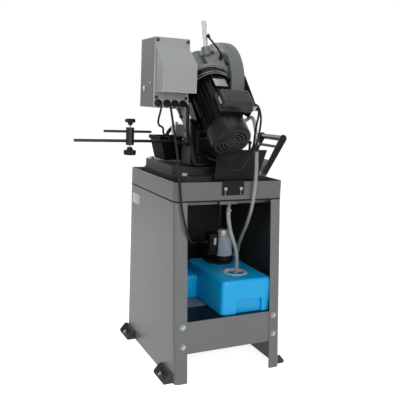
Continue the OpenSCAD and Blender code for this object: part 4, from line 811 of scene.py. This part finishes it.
class COLDSAW_OT_cabinet_details(bpy.types.Operator):
    """Makes the cabinet's gland nuts, latch, screws, button rings and the disc of the emergency stop"""
    bl_idname = "coldsaw.cabinet_details"
    bl_label = "Cabinet details"

    def execute(self, context):
        nuts = bmesh.new()
        for x in GLANDS_X:
            turned(nuts, (x, COVER_FACE_Y, GLAND_Z), (0, 1, 0), [(0, 14.6), (6, 14.6), (7, 13.6)], 6)
            turned(nuts, (x, COVER_FACE_Y + 6, GLAND_Z), (0, 1, 0),
                   [(0, 12), (2, 12.8), (7, 12.8), (10, 11.4), (12, 8.5), (13, 6)], 60, 20, 0.02)
        piece("gland_nuts", nuts, "black_plastic", "swivel")
        latch = bmesh.new()
        turned(latch, (CABINET_SIDE_X, 47, 1152), (1, 0, 0),
               [(0, 11), (2.5, 11), (3.2, 10), (3.2, 7.5), (2.4, 7), (2.4, 1)], 36)
        soft_slab(latch, on_side, 41, 53, 1150.5, 1153.5, 303, 305, 1.2, 0.6)
        screw_head(latch, (CABINET_SIDE_X, 114, 1174), (1, 0, 0), 4.5, 2.4, False)
        piece("cabinet_latch", latch, "fasteners", "swivel")
        heads = bmesh.new()
        for x in (166, 292):
            for z in (1120, 1335):
                screw_head(heads, (x, COVER_FACE_Y, z), (0, 1, 0), 6.4, 3.4, False)
        piece("cabinet_screws", heads, "dark_steel", "swivel")
        rings = bmesh.new()
        for x, z, r in ((192, 1301, 14.5), (228, 1191, 27.0)):
            turned(rings, (x, CABINET_FRONT_Y, z), (0, -1, 0),
                   [(0, r), (2.2, r), (3.0, r - 0.8), (3.0, r - 3.5), (0.6, r - 3.8), (0.0, r - 3.8)],
                   48, close=True)
        piece("button_rings", rings, "black_plastic", "swivel")
        disc = bmesh.new()
        turned(disc, (265, CABINET_FRONT_Y, 1301), (0, -1, 0),
               [(0, 30), (1.0, 30), (1.4, 29.6), (1.4, 12), (0, 12)], 56, close=True)
        piece("stop_disc", disc, "yellow_disc", "swivel")
        return {"FINISHED"}


# Blank plates: name, finish, slot, body, slab axes, slab box, corner and edge radius
PLATES = (
    ("stand_label", "blank_label", "stand_paint", "stand", on_side,
     (-229, -136, 642, 687, 244.8, 245.4), 4, 0.2),
    ("pump_label", "blank_label", "pump_paint", "stand", on_rear,
     (-66, -55, 478, 510, 29.9, 30.4), 1.5, 0.2),
    ("motor_box_label", "blank_label", "motor_paint", "head", on_head_side,
     (252, 288, 162, 173, 97.9, 98.5), 2, 0.2),
    ("motor_plate", "bare_plate", "fasteners", "head", head,
     (22, 76, 130, 172, 149.8, 150.7), 2, 0.3),
)


class COLDSAW_OT_plates(bpy.types.Operator):
    """Makes the blank labels and bare plates"""
    bl_idname = "coldsaw.plates"
    bl_label = "Blank plates"

    def execute(self, context):
        for name, finish_name, slot, body, place, box, corner, edge in PLATES:
            mesh = bmesh.new()
            soft_slab(mesh, place, *box, corner, edge, 2)
            piece(name, mesh, finish_name, body)
        return {"FINISHED"}


class COLDSAW_OT_motor_box(bpy.types.Operator):
    """Makes the motor's terminal box with its lid and cable glands"""
    bl_idname = "coldsaw.motor_box"
    bl_label = "Motor box"

    def execute(self, context):
        box = bmesh.new()
        soft_slab(box, head, -36, 105, 225, 313, 147.3, 159, 12, 2)
        soft_slab(box, head, -34, 98, 226, 312, 157, 190, 16, 13, 6, 0.5)
        piece("motor_box_body", box, "motor_box", "head", stands_for=("motor_box",))
        glands = bmesh.new()
        for u in (303, 282):
            turned(glands, head(-31, u, 160), (-1, 0, 0), [(0, 10), (5, 10), (6, 9)], 6)
            turned(glands, head(-36, u, 160), (-1, 0, 0), [(0, 8), (7, 8), (11, 6.6), (13, 5.2)], 24)
        piece("motor_box_glands", glands, "fasteners", "head")
        return {"FINISHED"}


class COLDSAW_OT_head_details(bpy.types.Operator):
    """Makes the bolts of the motor flange, bright arcs on its edges that are partly bare rims and partly
    painted highlight, the gearbox bolts and the motor box's screws
    """
    bl_idname = "coldsaw.head_details"
    bl_label = "Head details"

    def execute(self, context):
        bolts = bmesh.new()
        along = head(0, 1, 0) - head(0, 0, 0)
        for t in (math.radians(degrees) for degrees in (35, 90, 325)):
            at = head(MOTOR_X + 82 * math.cos(t), 97, MOTOR_V + 82 * math.sin(t))
            screw_head(bolts, at, -along, 6.5, 5.5)
        for u, v in ((-48, -46), (-48, 104), (50, 104), (50, -46)):
            screw_head(bolts, head(95, u, v), (1, 0, 0), 5.5, 4.5)
        piece("head_bolts", bolts, "fasteners", "head")
        # Bright steel arcs on the flange's edges: partly bare machined rims, partly painted highlight where
        # these edges catch the light
        highlight_rims = bmesh.new()
        arc = [math.radians(t) for t in range(-36, 136, 3)]
        for u, r in ((65.4, 88.2), (97.4, 93.0), (108.6, 92.6)):
            sweep(highlight_rims, [head(MOTOR_X + r * math.cos(t), u, MOTOR_V + r * math.sin(t)) for t in arc], 1.3, 8)
        piece("flange_highlight_rims", highlight_rims, "bright_steel", "head")
        screws = bmesh.new()
        for x in (-16, 80):
            for u in (243, 295):
                screw_head(screws, head(x, u, 189.6), head(0, 0, 1) - head(0, 0, 0), 3.6, 2.2, False)
        piece("motor_box_screws", screws, "dark_steel", "head")
        return {"FINISHED"}


class COLDSAW_OT_stand_details(bpy.types.Operator):
    """Makes the anchor bolts, a black band under the tray that is painted shade for the shadow line there,
    the drain block and the strip beside the tank
    """
    bl_idname = "coldsaw.stand_details"
    bl_label = "Stand details"

    def execute(self, context):
        bolts = bmesh.new()
        for x, y in ANCHORS:
            turned(bolts, (x, y, 5), (0, 0, 1), [(0, 10), (1.6, 10), (2, 9.5)], 28)
            turned(bolts, (x, y, 6.6), (0, 0, 1), [(0, 8), (5.6, 8), (6.4, 7)], 6)
            turned(bolts, (x, y, 12), (0, 0, 1), [(0, 4.8), (4, 4.8), (5, 3.8)], 20)
        piece("anchor_bolts", bolts, "fasteners", "stand")
        # Painted shade: a black rubber band in the gap under the tray, standing in for the shadow line there
        shadow_band = bmesh.new()
        outer, inner = round_rect(-245.8, 245.8, -263.8, 263.8, 20.8), round_rect(-243, 243, -261, 261, 18)
        skin(shadow_band, [[as_is(x, y, z) for x, y in outline] for outline, z in
                    ((outer, 721.5), (outer, 726.6), (inner, 726.6), (inner, 721.5))], close=True)
        piece("tray_shadow_band", shadow_band, "grip_rubber", "stand")
        block = bmesh.new()
        soft_slab(block, as_is, -40, 43, 229, 252, 706, 720.4, 3, 1.2, 2)
        piece("drain_block", block, "cast_zinc", "stand")
        strip = bmesh.new()
        soft_slab(strip, as_is, 34, 238, 50, 152, TANK_LOW_Z, TANK_LOW_Z + 3, 3, 0.6, 2)
        piece("tank_strip", strip, "stand_paint", "stand")
        return {"FINISHED"}


# Soft round lamps: name, place and diameter in metres, power in watts
LAMPS = (("key_lamp", (2.6, 2.6, 2.1), 1.8, 17.0), ("rear_lamp", (0.2, 3.5, 1.7), 1.8, 48.0),
         ("top_lamp", (0.2, 0.4, 3.4), 2.0, 16.0), ("front_lamp", (0.8, -2.8, 2.2), 2.0, 45.0))
LAMP_AIM = Vector((0, 0, 0.75))
FLOOR_HALF = 14.0


class COLDSAW_OT_stage(bpy.types.Operator):
    """Sets the floor, the soft studio light and the camera"""
    bl_idname = "coldsaw.stage"
    bl_label = "Stage"

    def execute(self, context):
        scene = context.scene
        scene.view_settings.view_transform = "Standard"
        a, e, r = (math.radians(x) for x in (CAMERA_AZIMUTH, CAMERA_ELEVATION, CAMERA_ROLL))
        back = Vector((math.sin(a) * math.cos(e), -math.cos(a) * math.cos(e), math.sin(e)))
        right = (-back).cross(Vector((0, 0, 1))).normalized()
        up = right.cross(-back)
        rolled = right * math.cos(r) + up * math.sin(r)
        upward = up * math.cos(r) - right * math.sin(r)
        data = bpy.data.cameras.new("camera")
        data.lens, data.sensor_width, data.sensor_fit = CAMERA_LENS, 36.0, "HORIZONTAL"
        camera = bpy.data.objects.new("camera", data)
        scene.collection.objects.link(camera)
        turn = Matrix((rolled, upward, back)).transposed().to_4x4()
        camera.matrix_world = Matrix.Translation(metres(CAMERA_AIM + back * CAMERA_DISTANCE)) @ turn
        scene.camera = camera

        mesh = bmesh.new()
        bmesh.ops.create_grid(mesh, x_segments=2, y_segments=2, size=FLOOR_HALF)
        floor_data = bpy.data.meshes.new("floor")
        mesh.to_mesh(floor_data)
        mesh.free()
        floor = bpy.data.objects.new("floor", floor_data)
        scene.collection.objects.link(floor)
        # Pale studio floor: matt, and it glows a little for the camera so that only shadows show
        paper = bpy.data.materials.new("matt_studio_floor")
        paper.use_nodes = True
        tree = paper.node_tree
        tree.nodes.clear()
        seen = self.direct_rays(tree)
        glow = add(tree, "Math", {1: settings().sizes.white_floor}, {0: seen}, operation="MULTIPLY")
        light = add(tree, "Emission", {"Color": (1, 1, 1, 1)}, {"Strength": glow.outputs[0]})
        matt = add(tree, "BsdfDiffuse", {"Color": linear("e4e4e4")})
        both = add(tree, "AddShader", None, {0: matt.outputs[0], 1: light.outputs[0]})
        add(tree, "OutputMaterial", None, {"Surface": both.outputs[0]})
        floor_data.materials.append(paper)

        world = bpy.data.worlds.new("studio")
        scene.world = world
        world.use_nodes = True
        tree = world.node_tree
        tree.nodes.clear()
        seen = self.direct_rays(tree)
        soft = add(tree, "Background", {"Color": linear("f4f6f8"), "Strength": 0.22})
        white = add(tree, "Background", {"Color": (1, 1, 1, 1), "Strength": 1.0})
        mixed = add(tree, "MixShader", None, {0: seen, 1: soft.outputs[0], 2: white.outputs[0]})
        add(tree, "OutputWorld", None, {"Surface": mixed.outputs[0]})

        for name, at, size, power in LAMPS:
            lamp = bpy.data.lights.new(name, "AREA")
            lamp.shape, lamp.size, lamp.energy = "DISK", size, power
            obj = bpy.data.objects.new(name, lamp)
            scene.collection.objects.link(obj)
            obj.location = at
            obj.rotation_euler = (LAMP_AIM - Vector(at)).to_track_quat("-Z", "Y").to_euler()
        return {"FINISHED"}

    @staticmethod
    def direct_rays(tree):
        """One for rays of the camera, of mirrors and of clear things, else zero."""
        path = add(tree, "LightPath").outputs
        first = add(tree, "Math", None, {0: path["Is Camera Ray"], 1: path["Is Glossy Ray"]},
                    operation="MAXIMUM")
        return add(tree, "Math", None, {0: first.outputs[0], 1: path["Is Transmission Ray"]},
                   operation="MAXIMUM").outputs[0]


OPERATORS = (COLDSAW_OT_stage, COLDSAW_OT_hoses, COLDSAW_OT_cables, COLDSAW_OT_return_spring,
             COLDSAW_OT_finishes, COLDSAW_OT_coolant_tank, COLDSAW_OT_pump, COLDSAW_OT_stop_knobs,
             COLDSAW_OT_cabinet_details, COLDSAW_OT_plates, COLDSAW_OT_motor_box, COLDSAW_OT_head_details,
             COLDSAW_OT_stand_details)


class COLDSAW_PT_panel(bpy.types.Panel):
    """Lists the saw's settings and steps"""
    bl_idname = "COLDSAW_PT_panel"
    bl_label = "Cold saw"
    bl_space_type = "VIEW_3D"
    bl_region_type = "UI"
    bl_category = "Cold saw"

    def draw(self, context):
        for group in (context.scene.cold_saw.colours, context.scene.cold_saw.sizes):
            column = self.layout.column()
            for name in group.__annotations__:
                column.prop(group, name)
        for operator in OPERATORS:
            self.layout.operator(operator.bl_idname)


CLASSES = (ColdSawColours, ColdSawSizes, ColdSawSettings) + OPERATORS + (COLDSAW_PT_panel,)


def register():
    for item in CLASSES:
        bpy.utils.register_class(item)
    bpy.types.Scene.cold_saw = bpy.props.PointerProperty(type=ColdSawSettings)


def unregister():
    del bpy.types.Scene.cold_saw
    for item in reversed(CLASSES):
        bpy.utils.unregister_class(item)


def main():
    register()
    FINISHES.update(make_finishes())
    for operator in OPERATORS:
        group, name = operator.bl_idname.split(".")
        getattr(getattr(bpy.ops, group), name)()


if __name__ == "__main__":
    main()
